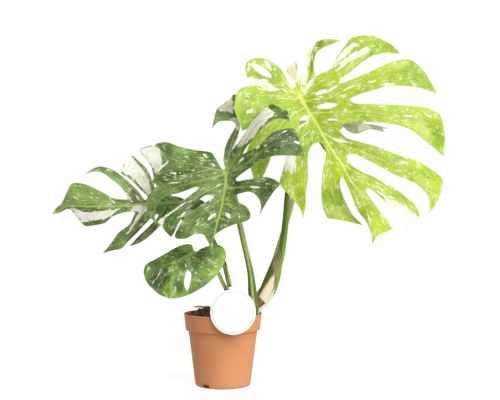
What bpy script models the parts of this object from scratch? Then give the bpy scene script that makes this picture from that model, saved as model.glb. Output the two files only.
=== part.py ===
"""A potted variegated monstera, modelled as separate solids.

The plant stands in a 17 cm nursery pot filled with soil. A short rhizome carries five petioles, and each
petiole carries one leaf blade. A round plastic hang tag is looped round one petiole and leans on the rim.

Lengths below are in centimetres, +X to the right, +Y away from the front, +Z up. The origin is the middle
of the pot's underside. The four front blades are drawn as they look from EYE: an outline point is (x, z)
at the pot's own distance, and it keeps its place in that view at whatever depth the blade lies there.
"""
import math

import bmesh
import bpy
import numpy as np
from mathutils import Matrix, Vector, geometry, noise
from mathutils.bvhtree import BVHTree

CM = 0.01
GAP = 0.03
EYE = np.array((5.9, -218.0, 40.3))
TIP = 1

# Pot and soil
POT_SEGMENTS = 48
POT_HEIGHT = 15.7
POT_RIM_RADIUS = 8.53
POT_SHARP_EDGE = math.radians(40)
POT_FLOOR = 0.24
POT_OUTSIDE = [(5.5, 0.0), (5.86, 0.12), (6.03, 0.5), (7.4, 11.15), (7.48, 11.25), (7.48, 11.4),
               (7.43, 11.5), (7.5, 12.0), (8.08, 12.16), (8.13, 12.3), (8.42, 15.25), (8.53, 15.4),
               (POT_RIM_RADIUS, 15.6), (8.45, POT_HEIGHT), (8.31, POT_HEIGHT)]
POT_INSIDE = [(8.24, 15.55), (7.96, 12.36), (7.34, 12.18), (7.25, 11.3), (5.86, 0.55), (5.6, POT_FLOOR)]
DRAIN_SLOT_SIZE = (1.7, 1.6, 0.52)
DRAIN_SLOT_ANGLES = (-126, -6, 114)
DRAIN_SLOT_REACH = 5.9
DRAIN_SLOT_HEIGHT = 0.52
SOIL_EDGE = 15.2
SOIL_MOUND = 0.85
SOIL_RINGS = (7.6, 6.8, 5.9, 5.0, 4.0, 3.0, 2.0, 1.0)
SOIL_ROUGHNESS = 0.22
SOIL_LUMPS = (0.9, 3.1)
SOIL_CRUMBS = (2.1, 8.7)
SOIL_CRUMB_SHARE = 0.6
SOIL_HUMP = (-3.9, 3.3, 0.88, 2.2)

# Blades
BLADE_HALF = 0.035
BLADE_GRID = 1.7
BLADE_EDGE_STEP = 1.5
QUILT = 0.22
QUILT_REACH = 1.4
MIDRIB_DEPTH = 0.34
MIDRIB_HALF_WIDTH = 0.3
VEIN_DEPTH = 0.09
HOLE_SIDES = 10
PLATE_SMOOTHING = 0.4
WELD = 0.02
ROOT_PROBE = 0.3

# Petioles: rows of (x, y, z), half width across, half depth
PETIOLE_STEP = 2.6
PETIOLE_SIDES = 10
STEM_SIDES = 12
STEM_STEP = 1.0
STEM_PATH = [(0.8, 0.6, 10.5, 0.7, 0.7), (1.8, 0.2, 13.0, 0.95, 0.95), (3.6, -0.2, 14.6, 1.05, 1.0),
             (5.4, -0.4, 15.3, 1.1, 1.05), (6.6, -0.4, 15.8, 1.0, 1.0), (7.3, -0.4, 16.2, 0.55, 0.55)]
PETIOLES = {
    "a": [(6.5, -0.1, 15.0, 0.75, 0.6), (7.3, -0.1, 16.3, 0.95, 0.75), (8.1, 0.0, 17.6, 1.2, 0.85),
          (9.1, 0.1, 19.3, 1.55, 0.92), (10.0, 0.2, 21.1, 1.75, 0.95), (10.9, 0.4, 23.5, 1.65, 0.9),
          (11.7, 0.7, 26.1, 1.3, 0.84), (12.9, 1.2, 29.3, 0.8, 0.74), (13.7, 2.0, 35.5, 0.7, 0.66),
          (14.3, 3.0, 42.3, 0.64, 0.6), (15.4, 4.4, 51.4, 0.58, 0.54), (16.4, 5.2, 58.6, 0.52, 0.5)],
    "b": [(6.3, -0.9, 15.2, 0.7, 0.6), (6.9, -1.7, 16.7, 0.9, 0.75), (6.6, -2.0, 18.8, 0.96, 0.8),
          (6.4, -2.2, 20.6, 0.93, 0.8), (6.2, -2.5, 23.0, 0.78, 0.72), (5.7, -3.0, 26.3, 0.66, 0.62),
          (3.7, -4.8, 35.2, 0.58, 0.54), (2.8, -5.8, 40.5, 0.52, 0.5), (1.7, -6.3, 44.2, 0.48, 0.46)],
    "c": [(3.5, -0.8, 14.6, 0.6, 0.5), (3.3, -2.2, 15.9, 0.62, 0.55), (2.9, -3.4, 17.3, 0.56, 0.5),
          (1.8, -5.2, 21.0, 0.48, 0.44), (1.0, -5.6, 24.2, 0.45, 0.42), (0.4, -5.6, 26.5, 0.44, 0.42),
          (-1.3, -4.7, 30.5, 0.43, 0.4), (-3.5, -2.6, 34.3, 0.42, 0.4), (-5.9, -0.5, 37.2, 0.4, 0.38),
          (-7.6, 0.3, 38.8, 0.4, 0.38)],
    "d": [(1.7, -0.2, 13.2, 0.5, 0.45), (1.4, -1.5, 15.2, 0.54, 0.5), (1.4, -2.3, 17.2, 0.5, 0.46),
          (0.8, -4.0, 21.0, 0.42, 0.4), (-0.1, -4.6, 23.0, 0.41, 0.39), (-0.8, -5.0, 24.6, 0.4, 0.38),
          (-2.6, -5.4, 26.8, 0.38, 0.36), (-4.7, -6.2, 28.6, 0.36, 0.35)],
    "e": [(5.3, 0.3, 15.2, 0.6, 0.5), (5.7, 1.9, 16.5, 0.7, 0.55), (7.2, 2.7, 18.6, 0.78, 0.6),
          (9.4, 2.8, 21.6, 0.75, 0.6), (11.0, 3.3, 26.0, 0.62, 0.56), (12.8, 4.3, 31.5, 0.56, 0.52),
          (14.9, 5.6, 38.1, 0.52, 0.5), (16.9, 7.0, 45.9, 0.5, 0.48), (18.7, 8.1, 51.8, 0.46, 0.45),
          (19.6, 8.9, 55.8, 0.46, 0.45)],
}
KNEE = {"a": (0.5, 0.9), "b": (0.46, 0.9), "c": (0.4, 0.8), "d": (0.36, 0.7), "e": (0.46, 0.9)}

# Dried sheaths: petiole, lowest and highest point, start angle, end angle, thickness
HUSKS = {
    "dried_sheath": ("c", 22.4, 27.2, -40, 40, 0.07),
    "old_scale": ("a", 17.4, 19.6, -110, -50, 0.08),
}
HUSK_STEP = 0.5
HUSK_GAP = 0.05
HUSK_COLUMNS = 5
HUSK_NARROWING = 0.85

# Tag
TAG_RADIUS = 4.8
TAG_THICKNESS = 0.08
TAG_CENTRE = (2.34, 16.81)
TAG_LEAN = math.radians(15)
TAG_SEGMENTS = 40
STRAP_WIDTH = 0.6
STRAP_THICKNESS = 0.07
LOOP_HEIGHT = 0.5
LOOP_GAP = 0.06
LOOP_PLACE = 21.7
LOOP_SIDES = 20
STRAP_INSET = 0.5
STRAP_SAG = 0.12

# Dry leaf scrap on the soil: points (x, y), half width, rise above its lowest point
SCRAP_PATH = [(-6.6, 2.9, 0.1, 0.2), (-5.9, 3.1, 0.3, 0.1), (-5.0, 3.2, 0.36, 0.05), (-4.1, 3.2, 0.36, 0.0),
              (-3.4, 3.1, 0.3, 0.1), (-3.0, 3.0, 0.16, 0.2)]
SCRAP_STEP = 0.5
SCRAP_COLUMNS = 5
SCRAP_CURL = 0.9
SCRAP_THICKNESS = 0.1

COLOURS = {
    "pot": ((0.72, 0.33, 0.17), 0.5), "soil": ((0.05, 0.03, 0.018), 0.95), "stem": ((0.2, 0.26, 0.08), 0.6),
    "petiole": ((0.16, 0.3, 0.05), 0.45), "leaf_a": ((0.42, 0.64, 0.05), 0.4),
    "leaf": ((0.09, 0.24, 0.06), 0.38), "tag": ((0.9, 0.9, 0.9), 0.45), "husk": ((0.42, 0.2, 0.08), 0.8),
    "scrap": ((0.55, 0.42, 0.18), 0.85),
}

LEAF_A = {
    "outline": [
        (17.4, 64.1), (17.7, 66), (17.9, 68.6), (18.2, 70.8), (18.7, 72.6), (19.5, 74.1), (20.7, 74.9),
        (22.6, 75.4), (25.7, 75.1, TIP), (24.3, 74.5), (22.9, 74), (21.6, 73.4), (20.6, 72.6), (20, 71.3),
        (19.8, 69.3), (20.2, 67.3), (21.4, 67.9), (23.1, 68.7), (24.2, 70.4), (25.2, 72.1), (26.6, 73.9),
        (28, 75.6), (30.1, 76.1), (32.7, 76.1), (34.9, 75.2), (36.8, 74.1), (38.6, 72.3, TIP),
        (37.1, 72.3), (35.5, 72.4), (32.5, 71.7), (29.9, 70), (27.6, 68.1), (25.8, 66.7), (25.3, 65.8),
        (26.3, 65.9), (27.8, 66.5), (31.3, 67.9), (34.2, 69.3), (37.2, 70.5), (39.3, 71), (40.9, 70.8),
        (42.2, 70), (43.8, 68.4), (45.3, 66), (46.7, 63.5, TIP), (45.1, 64.1), (42.7, 64.8), (39.6, 65.2),
        (36.1, 65.2), (33.2, 64.4), (29.9, 63.4), (28.2, 62.7), (27.6, 62.1), (28.3, 61.6), (29.4, 61.3),
        (34.9, 61.1), (40.8, 60.8), (44.3, 60.4), (46.2, 59.6), (47.3, 58.9), (47.9, 57.1), (48.4, 54.3),
        (48.3, 52.1), (48.1, 49.8, TIP), (46.2, 51.5), (43.8, 53.4), (41.5, 55.3), (38.9, 56.4), (36, 57),
        (32.5, 57.3), (29, 57.3), (26.6, 56.9), (25.4, 56.1), (25.6, 55.2), (27, 53.9), (30.1, 52.9),
        (33.7, 51.9), (37.2, 50.5), (40.8, 49.3), (43.6, 48.1), (46, 46.5), (47.9, 44.9), (47.7, 43.1),
        (47.3, 41.2), (46.2, 39), (44.9, 37.4, TIP), (45.1, 39.4), (44.6, 41.3), (43, 43.2), (40.3, 44.7),
        (37.2, 46), (33.7, 47.9), (30.4, 49.6), (28.5, 50.3), (27.1, 50.1), (27.2, 49), (28.5, 47.5),
        (31.3, 46), (34.9, 44.4), (37.9, 42.5), (40.3, 40.8), (42, 39), (42.8, 37), (41.7, 35.4),
        (40, 33.6, TIP), (39.6, 35.4), (37.9, 38.2), (35.5, 39.9), (33.6, 41.6), (31.8, 42.8),
        (31.1, 42.3), (32.7, 39.9), (34.4, 37.5), (35.8, 35.9), (37, 34, TIP), (35.5, 33.3), (33.7, 32.3),
        (32.5, 30.3, TIP), (32.4, 32.6), (31.3, 35.4), (29.4, 38), (28, 41.3), (26.8, 44.1), (26, 45.2),
        (25.5, 44.3), (25.7, 42.5), (27, 39.4), (28.5, 36.8), (30.6, 34.8, TIP), (27.6, 35.5), (25.1, 36),
        (22.8, 36.3, TIP), (21.9, 38.2), (21.5, 40.8), (21.5, 44.4), (21.9, 47.5), (22.4, 49.9),
        (22.2, 51.7), (21.2, 52.9), (19.6, 52.4), (18.7, 50.8), (18.5, 48.1), (18.6, 45.6), (18.2, 42.9),
        (18, 39.4), (17.5, 36.3, TIP), (16.9, 38.3), (15.5, 40.2), (14.1, 41.7), (12.4, 43.7),
        (12.6, 45.4), (13.4, 47.9), (13.7, 50.3), (13.5, 52.3), (12.7, 53.2), (11.8, 52.3), (10.8, 50.5),
        (10.2, 48.8), (9.4, 46.8), (8.5, 45.1), (7.2, 43.1, TIP), (6.6, 45.3), (6, 47.3), (5.5, 49),
        (5.2, 50.8), (5.9, 52.7), (7.4, 54.9), (9.4, 56.9), (11.4, 58.4), (12.5, 59.4), (11.8, 60.8),
        (9.9, 61.3), (8.3, 60.6), (6.6, 58.4), (5.4, 56.6), (4.2, 55.3, TIP), (3.5, 57.5), (2.7, 59.3),
        (2.5, 61.4), (3, 63.5), (3.9, 64.6), (5.1, 65), (5.8, 65.5), (6.2, 66.3), (6.1, 67.1),
        (5.3, 66.9, TIP), (5, 68.4), (4.9, 69.4), (5.3, 70.4), (6.2, 71), (7.6, 71.3), (9.1, 71.1),
        (10.5, 70.5), (12.4, 69.1), (13.6, 67.1), (14.5, 65.4), (14.2, 66.5), (13.8, 67.8), (14.2, 69.1),
        (14.9, 69.9), (15.9, 70.6, TIP), (16.2, 69.3), (16.3, 67.5), (16.5, 66), (16.8, 67.2),
        (17.3, 68.2, TIP), (17.6, 66.7)],
    "holes": [(21.4, 63.8, 2.8, 0.9, 22), (22.7, 60.8, 4.4, 1.2, 7), (23.9, 57.7, 2.2, 0.7, -3),
              (17.5, 57.7, 2.6, 1.3, 53), (8.3, 68.6, 5.5, 1.5, -34)],
    "midrib": [(16.8, 63, 2), (17.9, 61, 1.2), (20, 57.6, -0.6), (21.8, 54.5, -2.4), (23.8, 51.2, -4.4),
               (25.7, 48.4, -6.4), (27.8, 44.7, -9), (29.9, 41.4, -11.2), (31.3, 38, -13.4),
               (32.1, 34.2, -15.2), (32.5, 31.2, -16.2)],
    "veins": [
        [(17.2, 63.6, 2.1), (18.1, 65.6, 3.6), (18.9, 69.1, 6), (19.4, 72.1, 7.8), (20.9, 74.1, 8.4),
         (23.6, 74.9, 7.6)],
        [(17.4, 63, 2), (20.7, 65.6, 2.6), (23.1, 67.4, 3.4), (25.7, 69.6, 4.6), (28.5, 71.5, 5.8),
         (32.9, 73.7, 7.4), (37.1, 73, 7.2)],
        [(17.8, 61.7, 1.4), (20.2, 62.2, 1.1), (23.4, 62.6, 1), (26.2, 64.1, 1.2), (29.4, 65.2, 1.8),
         (33.7, 66.7, 2.6), (39.5, 68, 3.8), (43, 66.9, 4.2), (45.4, 64.9, 3.8)],
        [(19, 59.3, 0.2), (24.2, 59.4, -1), (29, 59.7, -1.6), (33.7, 59.3, -2), (38.4, 58.7, -1.6),
         (43.2, 57.8, -0.4), (46, 55.8, 0.8), (47.5, 52.1, 1.4)],
        [(21.4, 55.2, -2), (26.6, 52.2, -4), (30.3, 50.8, -5), (34.9, 48.9, -5.8), (39.6, 46.7, -6.2),
         (43.8, 44, -6.8), (45.6, 41, -7.6), (45.4, 38.6, -8.2)],
        [(24.1, 50.8, -4.8), (26.6, 47.7, -6.4), (30.9, 45.5, -8), (34.9, 43.4, -9), (38.4, 40.8, -9.8),
         (40.3, 37.9, -10.8), (40.2, 35.1, -11.6)],
        [(27.8, 44.7, -9), (31.2, 40.5, -11.2), (33.8, 37, -12.6), (36, 34.2, -13.4)],
        [(21.8, 54.5, -2.4), (23.4, 49.6, -5.4), (23.4, 45.5, -7.6), (24.1, 41.2, -9.6), (26, 37.9, -11),
         (29, 35.6, -12)],
        [(19.2, 58.9, 0), (17, 53.2, -3), (16.1, 47.9, -5.4), (15.7, 43.8, -7), (17, 38.6, -8.6)],
        [(18.1, 60.6, 1), (14.5, 58.4, -0.8), (11.4, 55.3, -2.4), (8.5, 51.2, -4), (7.3, 46.4, -5.4)],
        [(17.1, 62.4, 1.8), (13.6, 62.4, 0.6), (10.7, 63, -0.4), (7.6, 63, -1.2), (5.2, 61.9, -2),
         (4, 58.4, -3)],
        [(16.8, 63.4, 2), (14.4, 65, 2), (12, 68.5, 2), (10, 70.1, 1.8), (7.4, 70.9, 1.2), (5.6, 69.5, 0.4)],
        [(15.9, 63.4, 1.9), (13.1, 65, 1.4), (10.3, 65.9, 1), (7.3, 66.9, 0.6)],
        [(16.6, 63.6, 2.1), (15.5, 65.8, 3.2), (14.9, 68, 4.4), (15.6, 69.7, 5.4)],
        [(16.9, 63.9, 2.2), (17, 65.6, 3.4), (17.2, 67.4, 4.4)]],
}

LEAF_B = {
    "outline": [
        (0.5, 47.3), (0.1, 48.8), (0.3, 50.5), (0.5, 51.8), (1.4, 53.9), (2.2, 55.3), (2.8, 56.5),
        (2.2, 57.4), (0.9, 57.6), (-1.1, 57.3), (-2.4, 55.9, TIP), (-1.9, 58.2), (-1.3, 60.1), (0.2, 61.3),
        (1.5, 62.3), (2.4, 63.3), (3.5, 63, TIP), (4.1, 61.2), (4.2, 59), (3.9, 56.9), (3.4, 54.7),
        (2.9, 52.2), (4.4, 54.3), (6.1, 57.1), (7.2, 58.6), (8.3, 59.8), (9.6, 60.8), (10.9, 61.2),
        (12.4, 60.4), (12.9, 59.9), (14, 59.8), (14.6, 57.5, TIP), (13.2, 58), (11.8, 58), (9.6, 56.9),
        (7.9, 55.3), (6.6, 53.6), (5.2, 51.9), (4.4, 50.4), (5.7, 51), (7.9, 52.1), (9.6, 53.9),
        (11.4, 55.3), (13.6, 55.8), (15.4, 55.9), (16.1, 54.8), (17, 52.1), (17.9, 49.7, TIP),
        (16.4, 49.9), (14.6, 50), (12.4, 50), (10.3, 49.7), (7.9, 48.7), (6.2, 47.5), (4.6, 46.4),
        (3.4, 45.5), (2.8, 44.9), (3.2, 44.4), (4.4, 44.6), (6.7, 45), (9.1, 45.3), (11.2, 44.8),
        (12.4, 43.7), (11.2, 42.3), (9.7, 40.1), (8, 37.1, TIP), (8.3, 38.8), (8, 40.2), (7.1, 41.4),
        (5.9, 42.1), (4.4, 41.9), (2.9, 41.4), (2.2, 40.8), (3.2, 40), (4.8, 39.1), (5.8, 37.9), (6, 36.7),
        (5.6, 36), (4.4, 35.5), (2, 34.8), (-0.2, 33.8), (-1.8, 32.5), (-2.2, 30.7), (-2.5, 28.7, TIP),
        (-2.9, 30.4), (-3.6, 31.7), (-4.3, 32.8), (-6.1, 32.9), (-7.8, 32), (-9.1, 31.8), (-10.1, 31.9),
        (-10.5, 32.5), (-9.8, 34.2), (-8.3, 36.5), (-6.1, 38.2), (-4.1, 39.6), (-2.1, 40.8), (-2.5, 41.3),
        (-3.9, 41.3), (-5.9, 39.7), (-7.8, 37.9), (-9.4, 35.7), (-10.5, 33.5), (-11.2, 32.1, TIP),
        (-12.4, 33.3), (-13.5, 34.8), (-14.2, 35.6), (-12, 37.6), (-10.2, 39), (-8.5, 40.3), (-5.9, 42.3),
        (-5.3, 43), (-6.1, 43.1), (-9.1, 42), (-12.6, 41.1), (-13.7, 40), (-14.8, 38.4), (-14.9, 36.8),
        (-14.5, 35.1, TIP), (-15.7, 36.4), (-16.6, 38.4), (-16.5, 40), (-15.6, 41.6), (-14.8, 42.9),
        (-13.6, 44.2), (-14, 44.6), (-15.2, 43.4, TIP), (-15.4, 44.4), (-14.5, 46), (-12.8, 47.7),
        (-11.9, 48.8), (-13.1, 50.5), (-14.8, 52.5, TIP), (-12.4, 52.9), (-9.4, 51.9), (-6.1, 51.2),
        (-3.7, 50.9), (-2.4, 50.5), (-1.5, 49.2), (-0.6, 47.6), (0, 46.9)],
    "holes": [],
    "midrib": [(0.6, 46.3, -9), (0.6, 44, -10.4), (-0.2, 39.2, -13), (-1.2, 35.5, -15.2), (-2.1, 31.6, -17.2),
               (-2.4, 29.7, -18.2)],
    "veins": [
        [(0.8, 46.9, -9), (1.3, 49.9, -7.6), (2.2, 53.4, -4.6), (3.4, 57.4, -1.4), (2.8, 60.6, 0.6),
         (0.4, 59.9, 1), (-1.5, 57.9, 0.6)],
        [(1.0, 46.9, -9), (3.2, 50.1, -9), (5.5, 54, -9), (7.9, 57.2, -8.8), (10.3, 59.4, -8.4),
         (13.1, 58.9, -7.8)],
        [(1.0, 46.1, -9.4), (3.4, 47.2, -10.4), (5.9, 48.8, -11.6), (9, 51.2, -12.4), (12.4, 52.8, -12.4),
         (15.3, 52.5, -12), (17, 50.8, -11.6)],
        [(0.5, 42.8, -11), (3.3, 43, -12), (6.3, 43.3, -13), (9, 43, -13.4), (9.8, 41.8, -13.8),
         (8.7, 39, -14.4)],
        [(-0.1, 39.6, -12.8), (2.4, 38.8, -13.6), (4.8, 37.2, -14)],
        [(-0.9, 36.4, -14.6), (1.1, 35.8, -15), (3.1, 35.7, -14.8)],
        [(0.5, 46.5, -9), (-2.4, 47.1, -9.8), (-6, 47.9, -10.2), (-9.8, 48.6, -10), (-12.4, 50.2, -9.4),
         (-13.8, 51.9, -8.8)],
        [(-2.4, 47.1, -9.8), (-7.2, 46, -10.6), (-11.5, 45.3, -10.8), (-14.2, 45.1, -10.6)],
        [(0.5, 45.9, -9.4), (-4.1, 44.7, -11), (-8.3, 43.6, -12), (-12.4, 42.3, -12.6), (-15, 40.5, -13.2),
         (-15.8, 37.7, -13.6)],
        [(0.5, 44, -10.6), (-3.9, 42, -12.4), (-7.7, 39.4, -13.8), (-11.3, 36.4, -14.8), (-11.8, 34, -15.2)],
        [(0, 40.7, -12.4), (-3, 38.8, -13.8), (-6.3, 36.2, -15.2), (-9.1, 33, -16.2)],
        [(-1.1, 36.2, -15), (-3.5, 34.6, -15.8), (-5.9, 33.5, -16.2)]],
}

LEAF_C = {
    "outline": [
        (-8.4, 40.4), (-9.8, 41), (-11.1, 41.2), (-12.4, 42.5), (-13.6, 44.4), (-14.2, 46.4),
        (-13.3, 47.7), (-12, 48.9), (-12.6, 50.8), (-14.1, 52.3, TIP), (-16.1, 52.1), (-18.1, 51.3),
        (-17.5, 50.2), (-16.5, 48.9), (-15.6, 47.5), (-15.1, 45.4), (-14.4, 43.2), (-14.9, 43),
        (-15.4, 44.4), (-16.4, 46.8), (-17.9, 48.4), (-19.7, 50, TIP), (-20.7, 49.4), (-21.6, 48.1),
        (-22.2, 46.2), (-20.8, 45.3), (-19.4, 44.1), (-17.9, 42.5), (-16.4, 41), (-17.1, 40.4),
        (-18.4, 42.1), (-20.4, 44.1), (-22.4, 45.8), (-24.3, 47), (-26.6, 47.6), (-28.2, 47.2),
        (-30, 46, TIP), (-28.5, 46.5), (-27.2, 46.5), (-25.9, 46), (-24.5, 45), (-22.4, 43.3),
        (-21.3, 41.8), (-20.8, 40.6), (-21.7, 40.4), (-24, 40.7), (-25.7, 41.7), (-27.9, 42.8),
        (-30.3, 43.8), (-32.8, 43.9), (-34, 42), (-35.1, 39.7), (-36.4, 38.5), (-37.2, 37.2, TIP),
        (-35.5, 37.6), (-34.1, 38.3), (-33.2, 38.2), (-32.5, 37.4), (-31.6, 36.3), (-30.7, 35.2),
        (-29.9, 34.6), (-27.9, 34.8), (-25.7, 35.3), (-24.2, 36.6), (-22.4, 37.4), (-20.3, 37.8),
        (-19.2, 37.6), (-19.6, 36.5), (-20.5, 34.9), (-22.7, 33.2), (-24.5, 30.8), (-26.3, 28.6, TIP),
        (-24, 29.3), (-22.2, 29.7), (-20.5, 31.4), (-18.5, 33.4), (-16.8, 35.2), (-15.5, 36.5),
        (-14.3, 37.3), (-14.2, 36.6), (-15.5, 35.2), (-17.2, 33.5), (-19, 31.8), (-20.5, 30.1, TIP),
        (-17.9, 31.1), (-15.8, 32.6), (-13.9, 34.5), (-12, 36.2), (-10.2, 36.7), (-8.5, 35.7),
        (-6.5, 35.6), (-5, 36.5), (-4, 38.1), (-4, 39.8), (-5.2, 40.4), (-6.7, 40.2), (-7.7, 39.8)],
    "holes": [],
    "midrib": [(-8.5, 39.7, -2), (-11.1, 39.8, -3), (-13.7, 39.6, -3.8), (-16.8, 39.4, -4.6),
               (-20, 39.2, -5.2), (-23.3, 39, -5.6), (-29.4, 38.9, -5.8), (-33.3, 39.1, -5.2),
               (-35.9, 38, -4)],
    "veins": [
        [(-8.9, 40, -2.2), (-11.3, 41, -1.8), (-13.6, 43.6, -1.2), (-14.7, 46.2, -0.8), (-14.4, 49, -0.2),
         (-15.1, 51.2, 0.4)],
        [(-11.5, 39.8, -3), (-14.2, 41.4, -3), (-16.4, 43.8, -2.4), (-18.5, 46.6, -1.6), (-19.7, 49, -1)],
        [(-15, 39.6, -4.2), (-17.3, 40.5, -4.4), (-19.8, 43.2, -4.2), (-22.9, 45.6, -3.8),
         (-25.7, 46.8, -3.2), (-28.4, 46.8, -2.8)],
        [(-20.7, 39.2, -5.2), (-24.6, 40.1, -5.6), (-28.1, 41.3, -5.4), (-31.6, 43, -4.8)],
        [(-16.8, 39.4, -4.6), (-18.3, 36.4, -5.8), (-20.7, 33.5, -6.8), (-23.7, 30.5, -7.4)],
        [(-12, 39.6, -3.2), (-13.9, 36.4, -4.4), (-16.4, 33.3, -5.4), (-19, 31.1, -6)],
        [(-8.5, 39.3, -2), (-7, 38.3, -2.6), (-5.4, 37.9, -2.4)],
        [(-21.6, 39.1, -5.4), (-24.6, 37.7, -6.2), (-27.7, 36.2, -6.6), (-29.7, 35.4, -6.4)]],
}

LEAF_D = {
    "outline": [
        (-6.4, 29.4), (-6.7, 30.4), (-7.5, 30.7), (-8.4, 30.6), (-9.9, 30.1), (-12.3, 28.8),
        (-14.9, 27.3), (-16.7, 26.3), (-17.3, 24.8), (-17.1, 23.6), (-16.6, 22.3), (-15.5, 21.1),
        (-13.9, 19.7), (-11.8, 18.8, TIP), (-9.9, 18.9), (-7.8, 19.5), (-5.9, 20.4), (-3.4, 22),
        (-1.4, 23.9), (-0.2, 25.6), (0.5, 27.2), (0.7, 28.4), (0.3, 29.7), (-0.9, 30.5), (-2.7, 30.4),
        (-4.6, 29.8), (-5.7, 29.1)],
    "slits": [[(-7.8, 25.1), (-7, 24.4), (-7, 23.1), (-7.4, 21.3), (-7.8, 20.4, TIP), (-8.4, 21.6),
               (-8.4, 22.9), (-8.1, 24.1)]],
    "holes": [],
    "midrib": [(-6.3, 29, -8.2), (-9.1, 27.3, -9.8), (-10.9, 25.9, -10.8), (-12, 23.7, -12),
               (-12.2, 21.6, -12.8), (-11.9, 19.7, -13.2)],
    "veins": [
        [(-6.5, 29.1, -8.3), (-9.4, 28.9, -9), (-12.4, 27.9, -9.6), (-15.5, 26, -10)],
        [(-8.5, 27.7, -9.5), (-11.5, 26.5, -10.4), (-14.2, 24.8, -11), (-15.9, 22.9, -11.4)],
        [(-10.9, 25.9, -10.8), (-12.6, 23.9, -11.4), (-13.9, 21.4, -12)],
        [(-6.3, 29, -8.2), (-3.7, 29, -8), (-1.5, 28.1, -7.6)],
        [(-7.2, 28.4, -8.8), (-4.8, 26.8, -9.2), (-2.6, 25.3, -9)],
        [(-8.5, 27.7, -9.5), (-6.1, 25, -10.4), (-4.1, 23.1, -10.4)],
        [(-10.2, 26.3, -10.4), (-9.6, 23.7, -11.6), (-9.3, 20.2, -12)]],
}

# The hidden blade is drawn in its own plane: (along the midrib, across it), heights above that plane
E_ORIGIN = np.array((20.0, 9.3, 58.2))
E_ALONG = np.array((0.82, 0.57, 0.02))
E_ACROSS = np.array((-0.56, 0.81, 0.12))
E_HALF_OUTLINE = [
    (0.5, 0.35), (-1.7, 1.7), (-2.9, 4.0), (-2.5, 6.4), (-0.7, 8.6), (2.5, 10.2, TIP), (2.2, 8.2), (2.4, 6.2),
    (3.4, 4.5), (4.4, 4.7), (4.8, 6.9), (6.3, 9.1), (9.2, 10.6, TIP), (8.7, 8.0), (8.5, 5.6), (9.1, 3.7),
    (10.1, 3.9), (11.0, 5.9), (12.7, 7.8), (15.4, 8.6, TIP), (14.6, 6.5), (14.0, 4.6), (14.4, 2.9),
    (15.3, 3.1), (16.4, 4.4), (18.6, 5.0, TIP), (18.9, 3.0), (20.2, 1.5)]
E_LENGTH = 22.4
E_HALF_VEINS = [
    [(0.2, 0.3, 0), (-0.7, 3.2, -0.2), (-0.6, 6.2, -1.0), (1.8, 9.2, -2.4)],
    [(1.8, 0.3, 0), (3.8, 3.0, -0.1), (5.6, 6.2, -0.8), (8.3, 9.7, -2.0)],
    [(5.6, 0.3, 0), (8.2, 2.8, -0.2), (11.4, 5.2, -0.9), (14.5, 7.9, -2.0)],
    [(10.4, 0.3, -0.1), (13.2, 2.3, -0.5), (16.0, 3.5, -1.2), (18.2, 4.5, -2.0)]]
E_MIDRIB = [(0.9, 0, 0), (3.5, 0, 0.1), (7.5, 0, 0), (12, 0, -0.2), (16.5, 0, -0.8), (21.8, 0, -1.8)]
E_FRONT_RISE = [(0, -0.6, -3.0, -6.0), (0, 0.1, 0.5, 1.3), (0, 0.1, 0.6, 1.4), (0, 0.1, 0.6, 1.0)]


def clear_scene():
    for found in list(bpy.data.objects):
        bpy.data.objects.remove(found, do_unlink=True)


def material(name):
    colour, roughness = COLOURS[name]
    made = bpy.data.materials.get(name) or bpy.data.materials.new(name)
    made.use_nodes = True
    shader = made.node_tree.nodes["Principled BSDF"]
    shader.inputs["Base Color"].default_value = (*colour, 1.0)
    shader.inputs["Roughness"].default_value = roughness
    shader.inputs["Metallic"].default_value = 0.0
    return made


def solid(name, points, faces, paint, smooth=True):
    """An object from points in centimetres."""
    mesh = bpy.data.meshes.new(name)
    mesh.from_pydata([tuple(float(c) * CM for c in p) for p in points], [], faces)
    mesh.validate()
    mesh.materials.append(material(paint))
    if smooth:
        mesh.shade_smooth()
    made = bpy.data.objects.new(name, mesh)
    bpy.context.scene.collection.objects.link(made)
    return made


def combine(target, operand, operation):
    """Cut or join with a hidden operand."""
    operand.hide_render = True
    operand.display_type = "WIRE"
    cut = target.modifiers.new(operation.title(), "BOOLEAN")
    cut.operation = operation
    cut.solver = "EXACT"
    cut.object = operand


def spline(points, step, closed=False):
    """A smooth curve through the points, straight-ended at points marked TIP."""
    rows = [np.array(p[:len(p) - 1] if closed and len(p) == 3 else p, float) for p in points]
    corner = [closed and len(p) == 3 for p in points]
    count = len(rows)
    spans = count if closed else count - 1
    curve = []
    for i in range(spans):
        a, b = rows[i], rows[(i + 1) % count]
        before = rows[i - 1] if (closed or i) and not corner[i] else a
        more = (i + 2) % count if closed else min(i + 2, count - 1)
        after = rows[more] if not corner[(i + 1) % count] else b
        pieces = max(1, round(float(np.linalg.norm(b - a)) / step))
        for k in range(pieces):
            t = k / pieces
            slope_a, slope_b = (b - before) / 2, (after - a) / 2
            curve.append((2 * t**3 - 3 * t**2 + 1) * a + (t**3 - 2 * t**2 + t) * slope_a
                         + (3 * t**2 - 2 * t**3) * b + (t**3 - t**2) * slope_b)
    if not closed:
        curve.append(rows[-1])
    return np.array(curve)


def turned(name, profile, segments, paint):
    """A solid of revolution about Z. The profile starts and ends on the axis."""
    rings = profile[1:-1]
    points = [(0, 0, profile[0][1])]
    for radius, height in rings:
        for k in range(segments):
            angle = 2 * math.pi * k / segments
            points.append((radius * math.cos(angle), radius * math.sin(angle), height))
    points.append((0, 0, profile[-1][1]))
    faces = []
    for k in range(segments):
        after = (k + 1) % segments
        faces.append((0, 1 + after, 1 + k))
        for row in range(len(rings) - 1):
            low, high = 1 + row * segments, 1 + (row + 1) * segments
            faces.append((low + k, low + after, high + after, high + k))
        top = 1 + (len(rings) - 1) * segments
        faces.append((top + k, top + after, len(points) - 1))
    return solid(name, points, faces, paint)


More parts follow.
